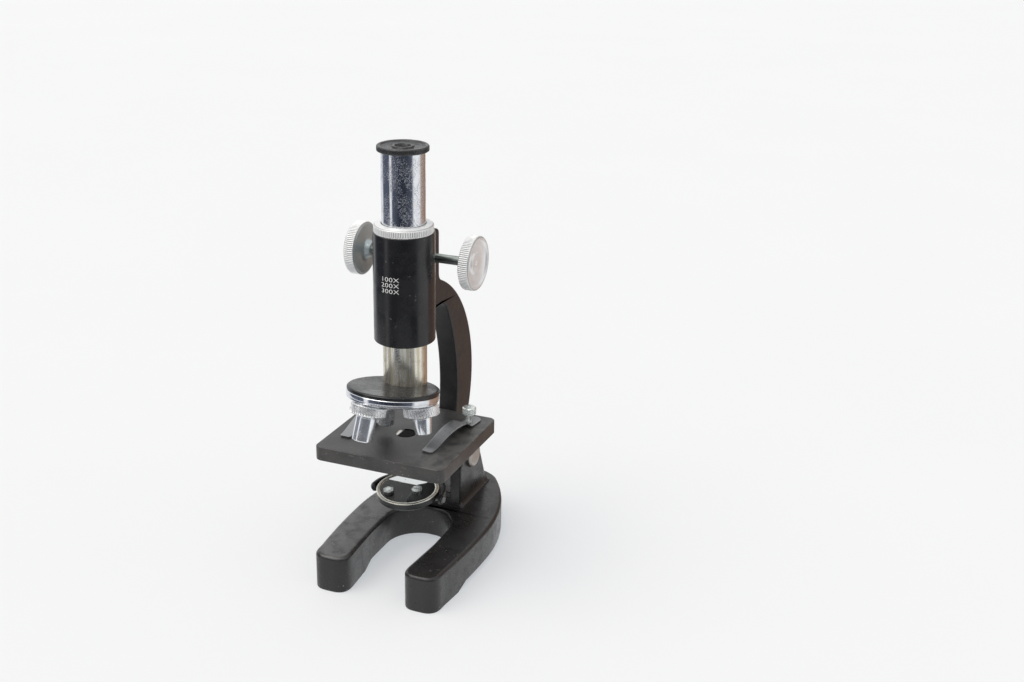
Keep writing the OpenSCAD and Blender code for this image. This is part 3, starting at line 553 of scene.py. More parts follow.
def lathe(name, outline, material, body, slot, place, replaced=(), radius=0.15, segs=160, cut=None, band=None):
    """Turns a closed outline of (r, z) about Z. cut is a knurl, and band is where it lies: low, high, rows."""
    points = rounded(outline, radius)
    if band:
        points = split_band(points, *band)
    verts, rings = [], []
    for r, z in points:
        if r < 1e-4:
            rings.append([len(verts)] * segs)
            verts.append((0, 0, z))
            continue
        rings.append(list(range(len(verts), len(verts) + segs)))
        for k in range(segs):
            a = TAU * k / segs
            deep = cut(r, z, a) if cut else 0.0
            verts.append(((r - deep) * math.cos(a), (r - deep) * math.sin(a), z))
    faces = []
    for i, low in enumerate(rings):
        high = rings[(i + 1) % len(rings)]
        if low[0] == low[1] and high[0] == high[1]:
            continue
        for k in range(segs):
            n = (k + 1) % segs
            quad = [low[k], low[n], high[n], high[k]]
            faces.append(list(dict.fromkeys(quad)))
    return piece(name, verts, faces, place, material, body, slot, replaced)


def regular(radius, count):
    """A regular outline: six points for a nut, many for a disc."""
    return [Vector((radius * math.cos(TAU * k / count), radius * math.sin(TAU * k / count))) for k in range(count)]


def skin(rings, count, ends=True):
    """Faces over rings of count points each, and one over each end."""
    faces = [[i * count + k, i * count + (k + 1) % count, (i + 1) * count + (k + 1) % count, (i + 1) * count + k]
             for i in range(rings - 1) for k in range(count)]
    if ends:
        faces += [list(range(count)), list(range((rings - 1) * count, rings * count))]
    return faces


def outward(points):
    """For each point of a closed outline, the vector that moves its two sides out by one."""
    area = sum(a[0] * b[1] - b[0] * a[1] for a, b in zip(points, points[1:] + points[:1]))
    way = 1 if area > 0 else -1
    out = []
    for i, p in enumerate(points):
        before, after = points[i - 1], points[(i + 1) % len(points)]
        e1, e2 = (p - before).normalized(), (after - p).normalized()
        n1, n2 = Vector((e1.y, -e1.x)) * way, Vector((e2.y, -e2.x)) * way
        both = n1 + n2
        out.append(both / max(0.5, both.dot(both) / 2))
    return out


def edge_layers(low, high, low_r, high_r, steps=5):
    """Layers of (height, inset) for a slab whose lower and upper edges are rounded."""
    layers = []
    for i in range(steps + 1):
        t = math.pi / 2 * i / steps
        layers.append((low + low_r * (1 - math.cos(t)), low_r * (1 - math.sin(t))))
    for i in range(steps, -1, -1):
        t = math.pi / 2 * i / steps
        layers.append((high - high_r * (1 - math.cos(t)), high_r * (1 - math.sin(t))))
    return layers


def slab_mesh(outline, layers):
    """Verts and faces of an outline stacked in layers, with flat caps."""
    points = [Vector(p) for p in outline]
    ways = outward(points)
    count = len(points)
    verts = [(*(p - way * inset), height) for height, inset in layers for p, way in zip(points, ways)]
    faces = skin(len(layers), count, ends=False)
    cap = tessellate_polygon([[p.to_3d() for p in points]])
    faces += [list(corners) for corners in cap]
    faces += [[(len(layers) - 1) * count + i for i in corners] for corners in cap]
    return verts, faces


def together(*parts):
    """Joins (verts, faces, place) shapes into one set of verts and faces."""
    verts, faces = [], []
    for part_verts, part_faces, place in parts:
        base = len(verts)
        verts += [place @ Vector(v) for v in part_verts]
        faces += [[base + i for i in face] for face in part_faces]
    return verts, faces


def arc(cx, cy, r, start, end, steps):
    return [Vector((cx + r * math.cos(math.radians(start + (end - start) * k / steps)),
                    cy + r * math.sin(math.radians(start + (end - start) * k / steps)))) for k in range(steps + 1)]


def carve(made, cutters):
    """Cuts (verts, faces, place) shapes out of a piece."""
    verts, faces = together(*cutters)
    mesh = bpy.data.meshes.new("cutter")
    mesh.from_pydata([tuple(v) for v in verts], [], faces)
    mesh.transform(TO_ROW)
    work = bmesh.new()
    work.from_mesh(mesh)
    bmesh.ops.recalc_face_normals(work, faces=work.faces)
    work.to_mesh(mesh)
    work.free()
    tool = bpy.data.objects.new("cutter", mesh)
    bpy.context.scene.collection.objects.link(tool)
    step = made.modifiers.new("cut", "BOOLEAN")
    step.operation, step.solver, step.object = "DIFFERENCE", "EXACT", tool
    bpy.context.view_layer.update()
    graph = bpy.context.evaluated_depsgraph_get()
    made.data = bpy.data.meshes.new_from_object(made.evaluated_get(graph))
    made.modifiers.clear()
    bpy.data.objects.remove(tool)
    made.data.shade_smooth()
    made.data.set_sharp_from_angle(angle=math.radians(SHARP_DEGREES))
    made.modifiers.new("normals", "WEIGHTED_NORMAL").keep_sharp = True


def channel(half, rear, low, high):
    """A box from the tube's axis backwards, for carving."""
    corners = [Vector(p) for p in ((-half, 0), (half, 0), (half, rear), (-half, rear))]
    return (*slab_mesh(corners, [(low, 0), (high, 0)]), Matrix())


def drum(r_low, r_high, low, high, segs=64):
    """A plain cone or cylinder as verts and faces, for carving."""
    verts = [(*p, z) for r, z in ((r_low, low), (r_high, high)) for p in regular(r, segs)]
    return verts, skin(2, segs)


def mirrored(half):
    """A closed outline from its right half, which runs from the middle line to the middle line."""
    left = [Vector((-p.x, p.y)) for p in reversed(half[1:-1])]
    return half + left


def evenly(points, step):
    """A closed outline walked in equal steps."""
    lengths = [(b - a).length for a, b in zip(points, points[1:] + points[:1])]
    total = sum(lengths)
    count = int(total / step)
    out, i, before = [], 0, 0.0
    for k in range(count):
        target = total * k / count
        while before + lengths[i] < target:
            before += lengths[i]
            i += 1
        a, b = points[i], points[(i + 1) % len(points)]
        out.append(a.lerp(b, (target - before) / lengths[i]))
    return out


def eased(points, rounds):
    """Softens kinks in a closed outline."""
    for _ in range(rounds):
        points = [(points[i - 1] + p * 2 + points[(i + 1) % len(points)]) / 4 for i, p in enumerate(points)]
    return points


# ---- foot, pillar and hinge ----

# (y, height) of the foot's raised underside between its front and rear pads.
PADS = ((-14.5, 0.0), (-6.5, 2.6), (62.0, 2.6), (66.0, 0.0))


def pad_rise(y):
    """How far the underside stands off the table at y."""
    if y <= PADS[0][0] or y >= PADS[3][0]:
        return 0.0
    for (y0, z0), (y1, z1) in zip(PADS, PADS[1:]):
        if y <= y1:
            return z0 + (z1 - z0) * (y - y0) / (y1 - y0)
    return 0.0


def foot(material):
    half = arc(0, 12, 17, 90, 0, 30) + [Vector((17, -5))]
    half += [Vector((15, -30))] + arc(20.6, -32.4, 5.6, 180, 270, 12) + arc(27, -32, 6, 270, 360, 14)
    half += arc(-334, 18, 370, -7.29, 0, 30)[1:]
    half += arc(-60, 18, 96, 0, 37.31, 40)[1:]
    half += arc(0, 56, 26, 51.0, 90, 20)
    outline = eased(evenly(mirrored(half), 0.9), 5)
    verts, faces = slab_mesh(outline, edge_layers(0, FOOT_TOP, 0.6, 1.9))
    work = bmesh.new()
    made = [work.verts.new(v) for v in verts]
    for face in faces:
        work.faces.new([made[i] for i in face])
    for y, _ in PADS:
        bmesh.ops.bisect_plane(work, geom=work.verts[:] + work.edges[:] + work.faces[:], plane_co=(0, y, 0),
                               plane_no=(0, 1, 0), dist=1e-4)
    for v in work.verts:
        if v.co.z < 2:
            v.co.z += pad_rise(v.co.y)
    work.verts.index_update()
    verts = [v.co.copy() for v in work.verts]
    faces = [[v.index for v in f.verts] for f in work.faces]
    work.free()
    made = piece("foot_casting", verts, faces, Matrix(), material, "base", "foot_paint", ["horseshoe_base"])
    carve(made, [(*drum(4.4, 4.4, -1, 8), at(0, y, 0)) for y in (41, 61)])


def pillar(material):
    parts = []
    flange = rounded([(-15.6, 33), (15.6, 33), (15.6, 71), (-15.6, 71)], 2.0, 6)
    parts.append((*slab_mesh(flange, edge_layers(18.6, 19.6, 0.1, 0.6)), Matrix()))
    base = rounded([(-14, 34.5), (14, 34.5), (14, 69.4), (-14, 69.4)], 1.2, 4)
    flare = [(18.8, -1.3)]
    flare += [(19.7 + 3.2 * (1 - math.cos(math.radians(t))), -1.3 * (1 - math.sin(math.radians(t))))
              for t in range(0, 91, 15)]
    parts.append((*slab_mesh(base, flare + [(23.4, 1.2)]), Matrix()))
    cheek = [(34.5, 19), (34.5, 41, 2.5), (43.6, 50.4, 1)]
    cheek += [tuple(p) + (0,) for p in arc(49, 43, 9.5, 122, 20, 16)]
    cheek = rounded(cheek + [(69.4, 19)], 0.5, 4)
    for side in (1, -1):
        low, high = sorted((side * 8.0, side * 14.0))
        radii = (0.5, 1.0) if side > 0 else (1.0, 0.5)
        parts.append((*slab_mesh(cheek, edge_layers(low, high, *radii)), SIDE))
    block = [(34.9, 19), (34.9, 26), (66.3, 26), (69.2, 19)]
    parts.append((*slab_mesh(rounded(block, 0.4, 3), edge_layers(-8.3, 8.3, 0.1, 0.1, 1)), SIDE))
    piece("pillar_casting", *together(*parts), Matrix(), material, "base", "foot_paint", ["pillar"], weighted=True)


def hinge_hardware(bolt, steel):
    head = [(0, 13.6), (6.7, 13.6), (6.7, 15.2, 0.5), (5.6, 16.1, 0.8), (4.2, 16.4, 1.5), (0, 16.4)]
    lathe("hinge_bolt_head", head, bolt, "base", "screw_chrome", HINGE_AXLE, ["hinge_bolt"], segs=128)
    shank = [(0, -20.3), (2.6, -20.3), (3, -19.8), (3, 14), (0, 14)]
    lathe("hinge_bolt_shank", shank, steel, "base", "screw_chrome", HINGE_AXLE, segs=64, radius=0.1)
    washer = [(3.05, -14.8), (6, -14.8), (6, -14), (3.05, -14)]
    lathe("hinge_washer_ring", washer, steel, "base", "screw_chrome", HINGE_AXLE, ["hinge_washer"], segs=96,
          radius=0.12)
    nut = slab_mesh(rounded(regular(5.77, 6), 0.5, 5), edge_layers(-18.8, -14.8, 0.45, 0.3, 4))
    piece("hinge_nut_hex", *nut, HINGE_AXLE, steel, "base", "screw_chrome", ["hinge_nut"], weighted=True)


# ---- limb and stage ----

def limb(material):
    head_front = 10.9
    profile = [(head_front, 131, 0.4), (head_front, 170, 0.4), (28, 170, 2.5), (28, 144.4, 5)]
    profile += [tuple(p) + (0,) for p in arc(6, 85, 63, 64, -41.8, 60)]
    profile += [(44.2, 43, 0.5)]
    profile += [tuple(p) + (0,) for p in arc(-43, 80, 93, -22, 29.6, 50)]
    profile += [tuple(p) + (0,) for p in arc(29.17, 121, 10, 35, 90, 10)]
    arm = rounded(profile, 0.5, 6)
    parts = [(*slab_mesh(arm, edge_layers(-5.2, 5.2, 1.0, 1.0)), SIDE)]
    parts.append((*slab_mesh(regular(8.5, 72), edge_layers(-7.9, 7.9, 0.6, 0.6)), HINGE_AXLE))
    bracket = rounded([(-9.2, 14), (9.2, 14), (9.2, 28), (5, 31), (5, 52), (-5, 52), (-5, 31), (-9.2, 28)], 2, 5)
    parts.append((*slab_mesh(bracket, edge_layers(60.4, STAGE_LOW, 0.9, 0.1)), Matrix()))
    piece("limb_casting", *together(*parts), Matrix(), material, "limb", "limb_paint", ["limb"], weighted=True)


def stage(material):
    outline = rounded([(-33.5, -31.2), (33.5, -31.2), (33.5, 34.2), (-33.5, 34.2)], 3.5, 10)
    plate = slab_mesh(outline, edge_layers(STAGE_LOW, STAGE_TOP, 0.6, 0.55, 4))
    made = piece("stage_plate", *plate, Matrix(), material, "limb", "stage_paint", ["stage"])
    holes = [(*drum(LIGHT_HOLE_R, LIGHT_HOLE_R, 60, 80), Matrix()),
             (*drum(LIGHT_HOLE_R, 5.5, STAGE_TOP - 0.4, STAGE_TOP + 0.4), Matrix())]
    for side in (1, -1):
        holes.append((*drum(1.6, 1.6, 60, 80, 32), at(side * CLIP_X, CLIP_Y, 0)))
    carve(made, holes)


# ---- tube and sleeve ----

def sleeve(gloss, silver, ink):
    """The black tube with its rear window, the ring on top, grooved for the rack, and the figures."""
    wall = [(13.2, 122.2), (SLEEVE_R, 122.2, 0.7), (SLEEVE_R, 174.8, 0.35), (13.2, 174.8)]
    shell = lathe("sleeve_shell", wall, gloss, "limb", "sleeve_enamel", Matrix(), ["tube_sleeve"], segs=256)
    carve(shell, [channel(5.0, 20, 131.4, 169.6)])
    outline = [(10.54, 170.4), (13.15, 170.4), (13.15, 174.8), (13.95, 174.8, 0.2), (13.95, 178.0, 0.2),
               (13.3, 178.5, 0.3), (11.4, 179, 0.3), (10.54, 179, 0.2)]
    ring = lathe("sleeve_ring_knurled", outline, silver, "limb", "ring_aluminium", Matrix(), ["sleeve_ring"],
                 segs=80 * 8, band=(175.0, 178.0, 6), cut=knurl(13.95, 174.95, 178.0, 80, 0.38, flat=0.6))
    carve(ring, [channel(2.8, 12.4, 169, 175.6)])
    for line, height in (("100X", 154.4), ("200X", 151.6), ("300X", 148.8)):
        engrave(line, height, ink)


def engrave(words, height, ink):
    """Small white characters, widened and wrapped round the front of the sleeve, a little to its left."""
    turned_by, wide = math.radians(-1.6), 1.38
    raised, sunk = 0.045, 0.015
    data = bpy.data.curves.new("scale_" + words, "FONT")
    data.body = words
    data.size = 3.0
    data.align_x = "CENTER"
    data.space_character = 1.04
    data.offset = -0.03
    data.resolution_u = 6
    shown = bpy.data.objects.new("scale_" + words, data)
    bpy.context.scene.collection.objects.link(shown)
    bpy.context.view_layer.update()
    flat = bpy.data.meshes.new_from_object(shown.evaluated_get(bpy.context.evaluated_depsgraph_get()))
    bpy.data.objects.remove(shown)
    work = bmesh.new()
    work.from_mesh(flat)
    bmesh.ops.triangulate(work, faces=work.faces)
    bmesh.ops.subdivide_edges(work, edges=work.edges, cuts=2, use_grid_fill=True)
    grown = bmesh.ops.extrude_face_region(work, geom=work.faces[:])
    for v in [g for g in grown["geom"] if isinstance(g, bmesh.types.BMVert)]:
        v.co.z += raised
    verts = []
    for v in work.verts:
        a = v.co.x * wide / SLEEVE_R + turned_by
        out = SLEEVE_R - sunk + v.co.z
        verts.append((out * math.sin(a), -out * math.cos(a), height + v.co.y))
    work.verts.index_update()
    faces = [[v.index for v in f.verts] for f in work.faces]
    work.free()
    piece("scale_" + words, verts, faces, Matrix(), ink, "limb", "sleeve_enamel", sharp=30)


# ---- focus drive ----

def knobs(material):
    """One outline for both knobs: face is the outer side's distance from the middle, rim the inner side's."""
    face, knob_r = 31.5, 12.9
    rim = face - 5.6
    outline = [(0, 22.4), (3.4, 22.4, 0.4), (4.6, rim - 0.9, 1.2), (6.5, rim - 0.45, 2), (knob_r - 1.3, rim, 0.4),
               (knob_r, rim + 0.7, 0.3), (knob_r, face - 0.6, 0.4), (knob_r - 0.5, face, 0.3),
               (knob_r - 1.5, face, 0.4), (knob_r - 2.3, face - 1.1, 0.5), (8.2, face - 1.75, 0),
               (8.0, face - 1.8, 0), (5.3, face - 2.0, 0.3), (4.6, face - 1.15, 0.3), (1.1, face - 1.1, 0.1),
               (0.7, face - 1.5, 0.1), (0, face - 1.55)]
    for name, place in (("right", SIDE), ("left", at(-1.1, 0, 0) @ MIRROR_X @ SIDE)):
        lathe("focus_knob_" + name, outline, material, "pinion", "knob_aluminium", at(*PINION_AT) @ place,
              ["knob_" + name], segs=84 * 8, band=(rim + 0.7, face - 0.4, 8),
              cut=knurl(knob_r, rim + 0.5, face - 0.5, 84, 0.42, flat=0.6))


# ---- nosepiece ----

LEAN, PIVOT_Y = 10.0, 12.6
NOSE = at(0, -PIVOT_Y, 100.07 + PIVOT_Y * math.tan(math.radians(LEAN))) @ turn(-LEAN, "X")
# Degrees round the turret, length below the collar's seat, and radius at the tip.
OBJECTIVES = {"long": (-24, 24.6, 4.8), "short": (96, 21.1, 3.9), "medium": (216, 22.8, 4.5)}


def objective_place(degrees):
    return NOSE @ turn(degrees, "Z") @ at(0, -PIVOT_Y / math.cos(math.radians(LEAN)), 0) @ turn(-LEAN, "X")


def nosepiece(plate, edge, disc, silver, bright):
    cover = [(2.45, -1.7), (20.7, -1.7), (20.7, 0.03, 0.05), (20.4, 0, 0.3), (0, 0), (0, -0.35), (2.45, -0.35)]
    lathe("nose_plate", cover, plate, "tube", "plate_black", NOSE, ["nosepiece_plate"], segs=256)
    rim = [(20.7, -1.75), (21.6, -1.75, 0.15), (21.9, -1.45, 0.2), (21.9, -0.55, 0.45), (21.3, -0.05, 0.4),
           (20.7, 0.03, 0.05)]
    lathe("nose_plate_rim", rim, edge, "tube", "plate_black", NOSE, segs=256)
    screw = [(0, -7.6), (0, -9.8), (3.4, -9.8, 0.6), (4.2, -9.1, 0.4), (4.2, -7.5, 0.1), (2.4, -7.5), (2.4, -0.4),
             (0, -0.4)]
    lathe("nose_pivot_screw", screw, bright, "tube", "chrome_bright", NOSE, ["nosepiece_screw"], segs=96)
    turret = [(2.5, -1.9), (21.7, -1.9, 0.1), (22, -2.2, 0.15), (22, -3.9, 0.2), (21.6, -4.15, 0.1),
              (21.55, -4.35, 0.1), (21.8, -4.55, 0.1), (21.8, -4.95, 0.2), (21.3, -5.4, 0.3), (19.6, -5.4, 0.5),
              (15, -5.65, 3), (9, -6.6, 3), (7, -7.2, 0.5), (2.5, -7.2)]
    lathe("turret_disc", turret, disc, "nosepiece", "turret_chrome", NOSE, ["nosepiece_disc"], segs=256)
    seat = [(4.2, -7.15), (7.4, -7.15, 0.2), (7.4, -4.6, 0.3), (4.2, -4.6)]
    collar = [(4.8, -12.2), (7.9, -12.2, 0.2), (8.5, -11.7, 0.2), (8.5, -7.7, 0.2), (7.9, -7.2, 0.2), (4.8, -7.2)]
    for name, (degrees, reach, tip) in OBJECTIVES.items():
        place = objective_place(degrees)
        lathe("turret_seat_" + name, seat, disc, "nosepiece", "turret_chrome", place, segs=96)
        lathe("collar_knurled_" + name, collar, silver, "nosepiece", "collar_silver", place, ["collar_" + name],
              segs=42 * 14, band=(-11.7, -7.7, 12),
              cut=knurl(8.5, -11.65, -7.75, 42, 0.6, slant=1.3, fade=0.25, flat=0.55))
        outline = [(2.9, -3.1), (4.1, -3.1), (4.1, -7.2), (4.8, -7.2), (4.8, -12.8, 0.1), (4.62, -12.95, 0.05),
                   (4.62, -13.25, 0.05), (4.78 if tip > 4.6 else 4.7, -13.4, 0.1), (tip, -reach + 0.45, 0.15),
                   (tip - 0.45, -reach, 0.2), (2.5, -reach, 0.1), (1.7, -reach + 0.3, 0.1), (2.1, -reach + 0.8, 0.05),
                   (2.1, -reach + 3), (2.9, -reach + 3)]
        lathe("objective_barrel_" + name, outline, bright, "nosepiece", "barrel_chrome", place, ["barrel_" + name],
              segs=128, radius=0.1)


# ---- eyepiece ----

def eyepiece(black):
    top = 215.0
    outline = [(6.6, 204), (9.3, 204), (9.3, 212.4), (11.7, 212.4, 0.2), (12, 212.7, 0.15), (12, top - 0.4, 0.3),
               (11.6, top, 0.3), (10.5, top, 0.3), (9.8, top - 0.6, 0.5), (7.4, top - 1.0, 2),
               (5.3, top - 1.0, 0.4), (4.9, top - 0.2, 0.25), (3.9, top - 0.2, 0.25), (3.2, top - 1.6, 0.2),
               (3.2, top - 2.2), (4.4, top - 2.2), (4.4, top - 5), (6.6, top - 5)]
    lathe("eyepiece_cap_knurled", outline, black, "eyepiece", "cap_black", Matrix(), ["eyepiece_cap"], segs=84 * 8,
          band=(212.7, 214.6, 5), cut=knurl(12, 212.7, 214.6, 84, 0.34, fade=0.25, flat=0.6))


# ---- stage clips ----

# A clip's side view along s, from its screw forwards: flat, rising, an arc with its crest, and down to its foot.
FLAT_S, RISE_S, CREST_S, BEND_S, FOOT_S = 3.8, 8.0, 16.0, 25.0, 36.5
CREST, ARC_R, REST = 4.4, 40.0, 0.35
CLIP_TAIL, CLIP_TIP, CLIP_HALF = 7.4, 39.8, 3.9
# Degrees that the right and the left clip are turned inwards.
CLIP_TURNS = {1: 7.1, -1: -1.4}


def clip_height(s):
    """Height of the strip's underside above the stage, s millimetres in front of its screw."""
    crown = CREST - ARC_R + math.sqrt(ARC_R ** 2 - (min(max(s, RISE_S), BEND_S) - CREST_S) ** 2)
    if s < RISE_S:
        return REST + (crown - REST) * max(0.0, s - FLAT_S) / (RISE_S - FLAT_S)
    if s > BEND_S:
        return REST + (crown - REST) * max(0.0, FOOT_S - s) / (FOOT_S - BEND_S)
    return crown


def soft_height(s):
    """The same height with its bends rounded."""
    return sum(clip_height(s + d) for d in (-1.2, -0.6, 0, 0.6, 1.2)) / 5


def clip_half_width(s):
    """Half the strip's width: a round rear end, a slow taper, and a blunt tip with small corners."""
    half = CLIP_HALF - 1.1 * max(0.0, s - 10) / (CLIP_TIP - 10)
    behind = min(1.0, max(0.0, CLIP_HALF - CLIP_TAIL - s) / CLIP_HALF)
    ahead = min(1.0, max(0.0, s - CLIP_TIP + 1.3) / 1.3)
    return half * math.sqrt(1 - behind ** 2) - 1.1 * (1 - math.sqrt(1 - ahead ** 2)) + 1e-3


def clip_side(side, strip_steel, bright, steel):
    name = "right" if side > 0 else "left"
    flip = Matrix() if side > 0 else MIRROR_X
    place = flip @ at(CLIP_X, CLIP_Y, STAGE_TOP) @ turn(-90 - CLIP_TURNS[side], "Z")
    thick, rows, cols = 0.55, 120, 14
    verts = []
    for i in range(rows + 1):
        s = -CLIP_TAIL + (CLIP_TIP + CLIP_TAIL) * (0.5 - 0.5 * math.cos(math.pi * i / rows))
        width = clip_half_width(s)
        z = soft_height(s)
        for flat, across in ((0.0, range(cols + 1)), (thick, range(cols, -1, -1))):
            for j in across:
                t = -math.cos(math.pi * j / cols)
                ease = 0.09 * abs(t) ** 12
                verts.append((s, t * width, z + flat + (ease if flat == 0 else -ease)))
    faces = skin(rows + 1, 2 * (cols + 1))
    body = name + "_clip"
    piece("clip_strip_" + name, verts, faces, place, strip_steel, body, "clip_steel", ["clip_" + name], sharp=50)
    seat = at(side * CLIP_X, CLIP_Y, STAGE_TOP)
    head = [(0, -9.7), (1.3, -9.7), (1.5, -9.4), (1.5, 0.93), (1.7, 0.93, 0.1), (1.7, 5.0, 0.2), (2.9, 5.2, 0.2),
            (3.4, 5.6, 0.15), (3.4, 8.5, 0.2), (2.9, 8.95, 0.3), (0.9, 9.0, 0.5), (0, 9.0)]
    lathe("clip_screw_knurled_" + name, head, bright, body, "screw_chrome", seat, ["clip_screw_" + name],
          segs=24 * 10, radius=0.1, band=(5.6, 8.5, 6), cut=knurl(3.4, 5.6, 8.5, 24, 0.34, fade=0.3, flat=0.7))
    nut = slab_mesh(rounded(regular(3, 6), 0.3, 4), edge_layers(-9.4, -7.4, 0.3, 0.2, 3))
    piece("clip_nut_hex_" + name, *nut, seat, steel, body, "screw_chrome", ["clip_nut_" + name], weighted=True)


# ---- mirror ----

MIRROR_Z = 40
MIRROR_AT = at(0, 1.5, MIRROR_Z)
MIRROR_TILT = 5


def mirror(black, bezel, pin_steel):
    tilted = MIRROR_AT @ turn(MIRROR_TILT, "X")
    cup = [(0, -1.9), (13.6, -1.9, 1.0), (15.5, -0.7, 1.2), (15.5, 2.4, 0.15), (14.3, 2.4, 0.1), (14.3, 1.5),
           (0, 1.5)]
    lathe("mirror_cup_shell", cup, black, "mirror", "yoke_black", tilted, ["mirror_cup"], segs=192)
    ring = [(13.5, 2.52), (14.3, 2.45), (14.3, 2.38), (15.5, 2.38), (15.5, 2.75, 0.3), (15.0, 3.1, 0.4),
            (14.0, 2.95, 0.3)]
    lathe("mirror_bezel_ring", ring, bezel, "mirror", "bezel_nickel", tilted, ["mirror_bezel"], segs=192,
          radius=0.05)
    yoke(black)
    stem = [(0, 18.4), (2, 18.4), (2, 20.4), (3.2, 20.4, 0.3), (3.2, 22.9, 0.4), (2, 22.9), (2, 37.5),
            (3.2, 37.5, 0.4), (3.2, 40.0, 0.3), (2, 40.0), (2, 45), (0, 45)]
    lathe("mirror_stem", stem, black, "yoke", "yoke_black", at(0, 0, MIRROR_Z) @ turn(-90, "X"), ["yoke_stem"],
          segs=64, radius=0.05)
    pin = [(0, 14.3), (0.9, 14.3), (1, 14.5), (1, 18.9), (1.9, 18.9), (1.9, 19.4, 0.3), (1.4, 19.9, 0.5),
           (0, 19.9)]
    for name, flip, replaced in (("right", Matrix(), ["mirror_pivots"]), ("left", MIRROR_X, [])):
        lathe("mirror_pivot_" + name, pin, pin_steel, "yoke", "screw_chrome", MIRROR_AT @ flip @ SIDE, replaced,
              segs=48, radius=0.05)


def yoke(black):
    """A flat strip bent round the mirror's rear half, with a round end at each pivot."""
    steps, middle_r, half_tall = 96, 18.1, 2.5
    inner, outer = middle_r - 0.8, middle_r + 0.8
    start = math.degrees(math.asin(half_tall / middle_r))
    verts = []
    for i in range(steps + 1):
        a = math.radians(-start + (180 + 2 * start) * i / steps)
        below = max(0.0, -middle_r * math.sin(a))
        tall = math.sqrt(max(0.0, half_tall ** 2 - below ** 2)) + 0.02
        section = rounded([(inner, -tall), (outer, -tall), (outer, tall), (inner, tall)], min(0.35, tall * 0.4), 3)
        verts += [(r * math.cos(a), r * math.sin(a), z) for r, z in section]
    piece("mirror_yoke_arc", verts, skin(steps + 1, len(section)), MIRROR_AT, black, "yoke", "yoke_black",
          ["mirror_yoke"])


# ---- everything ----

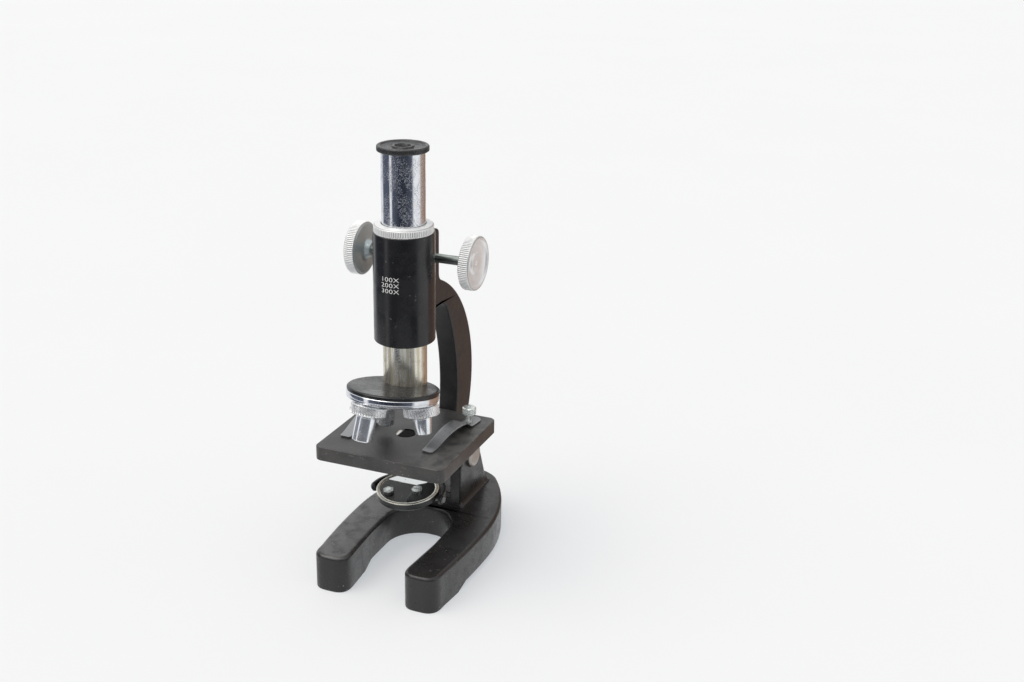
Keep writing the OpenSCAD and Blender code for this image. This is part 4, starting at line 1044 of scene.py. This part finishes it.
def build():
    # Painted metal. These amounts were set against the photo.
    casting = black_enamel("casting_black", (0.018, 0.0165, 0.016), 0.27, scuff=0.25, worn=0.22, dust=0.35,
                           dusty=(8, -34, 0.75))
    limb_paint = black_enamel("limb_black", (0.022, 0.0215, 0.022), 0.30, scuff=0.2, worn=0.15, dust=0.08)
    gloss = black_enamel("sleeve_black", (0.010, 0.010, 0.011), 0.20, peel=0.006, wave=0.02, scuff=0.10, worn=0.6,
                         dust=0.12)
    plate = black_enamel("plate_black", (0.036, 0.035, 0.034), 0.24, peel=0.008, scuff=0.3, worn=0.5, dust=0.15)
    fittings = black_enamel("fittings_black", (0.016, 0.016, 0.017), 0.36, peel=0.008, scuff=0.2, worn=0.3, dust=0.1)
    matt = stage_black()
    # Plated and bare metal.
    tube_chrome = chrome("eyepiece_chrome", 0.05, pits=1.0, cloud=0.10, stain=0.35, cover=0.47)
    barrel = chrome("barrel_chrome", 0.11, pits=0.35, cloud=0.12, colour=(0.92, 0.94, 0.96), metal=0.84)
    disc = chrome("turret_chrome", 0.08, pits=0.35, cloud=0.14)
    screw_chrome = chrome("screw_chrome", 0.20, pits=0.3, cloud=0.12, colour=(0.86, 0.90, 0.87), metal=0.75)
    nickel = nickel_tube()
    axis = Vector((0, AXIS_Y, 0))
    # The left knob's inner face, x from -30 to -10, gets painted shade with a teal painted reflection; the knobs'
    # grooves get painted shade.
    knob_metal = turned("knob_aluminium", (0.96, 0.96, 0.95), 0.30, axis + PINION_AT, "X", rim=(12.2, 12.9),
                        metal=0.5, spin=0.6, shaded_dish=(-30, -10, (0.56, 0.63, 0.64)))
    # The ring's knurl grooves get painted shade as well.
    ring_metal = turned("ring_aluminium", (0.97, 0.97, 0.95), 0.36, axis, "Z", rim=(13.4, 13.95), metal=0.4)
    collar_metal = plain_metal("collar_silver", (0.92, 0.92, 0.92), 0.22, dirt_and_shade=(0.6, 0.6, 0.59), dirt_amount=0.2,
                               depth=0.003, metal=0.8)
    steel = plain_metal("steel", (0.56, 0.56, 0.55), 0.32)
    spring = plain_metal("spring_steel", (0.38, 0.385, 0.39), 0.34, grain=(1, 0.1, 1), dirt_amount=0.3)
    zinc = plain_metal("zinc_screw", (0.86, 0.88, 0.87), 0.2, dirt_amount=0.15)
    bolt = plain_metal("worn_bolt", (0.50, 0.465, 0.43), 0.42, dirt_and_shade=(0.3, 0.26, 0.22), dirt_amount=0.5)
    dark_pin = plain_metal("dark_pin", (0.20, 0.20, 0.20), 0.35)
    shaft = plain_metal("shaft_steel", (0.40, 0.44, 0.41), 0.28, grain=(0.1, 1, 1), dirt_and_shade=(0.12, 0.13, 0.12))
    brass = plain_metal("brass", (0.78, 0.60, 0.32), 0.28, dirt_and_shade=(0.3, 0.2, 0.1))
    bezel_metal = plain_metal("bezel_nickel", (0.88, 0.86, 0.76), 0.26, dirt_and_shade=(0.5, 0.44, 0.3), dirt_amount=0.45)
    glass, mirror_glass, ink, cap = lens_glass(), silvered_glass(), white_ink(), black_plastic()

    foot(casting)
    pillar(casting)
    hinge_hardware(bolt, steel)
    limb(limb_paint)
    stage(matt)
    sleeve(gloss, ring_metal, ink)
    knobs(knob_metal)
    nosepiece(plate, gloss, disc, collar_metal, barrel)
    eyepiece(cap)
    for side in (1, -1):
        clip_side(side, spring, screw_chrome, steel)
    mirror(fittings, bezel_metal, dark_pin)

    # CAD nodes that are shown as they are and only need a material.
    kept = {
        "pillar_bolts": steel, "stage_screws": zinc, "guide_bush": fittings, "pinion_shaft": shaft,
        "pinion_gear": brass, "body_tube": nickel, "rack": brass, "rack_screws": steel, "tube_baffle": fittings,
        "lens_long": glass, "lens_short": glass, "lens_medium": glass, "eyepiece_tube": tube_chrome,
        "eye_lens": glass, "field_stop": fittings, "field_lens": glass, "mirror_glass": mirror_glass,
    }
    for node, material in kept.items():
        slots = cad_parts[node].data.materials
        slots.clear()
        slots.append(material)


FLOOR_R = 8
REFLECTED_REACH, SHORTER_REACH, SHORTEST_REACH = 0.36, 0.24, 0.12


def floor():
    """A wide pale table, in metres. Shiny parts see a small outline just under it instead.

    Its edge comes closer on both sides of the photo's view, and closest at the rear right."""
    wide = [(*p, 0) for p in regular(FLOOR_R, 96)]
    close = []
    for side in range(-180, 180, 3):
        reach = SHORTEST_REACH if 90 < side < 165 else SHORTER_REACH if 26 < abs(side) < 58 else REFLECTED_REACH
        a = math.radians(PHOTO_AZIMUTH - 90 + side)
        close.append((reach * math.cos(a), reach * math.sin(a), -0.0002))
    cloth = floor_cloth()
    for name, verts in (("floor", wide), ("floor_reflected", close)):
        mesh = bpy.data.meshes.new(name)
        mesh.from_pydata(verts, [], [list(range(len(verts)))])
        made = bpy.data.objects.new(name, mesh)
        bpy.context.scene.collection.objects.link(made)
        mesh.materials.append(cloth)
        whole = name == "floor"
        made.visible_glossy = not whole
        made.visible_camera = made.visible_diffuse = made.visible_transmission = made.visible_shadow = whole


camera()
studio()
floor()
build()
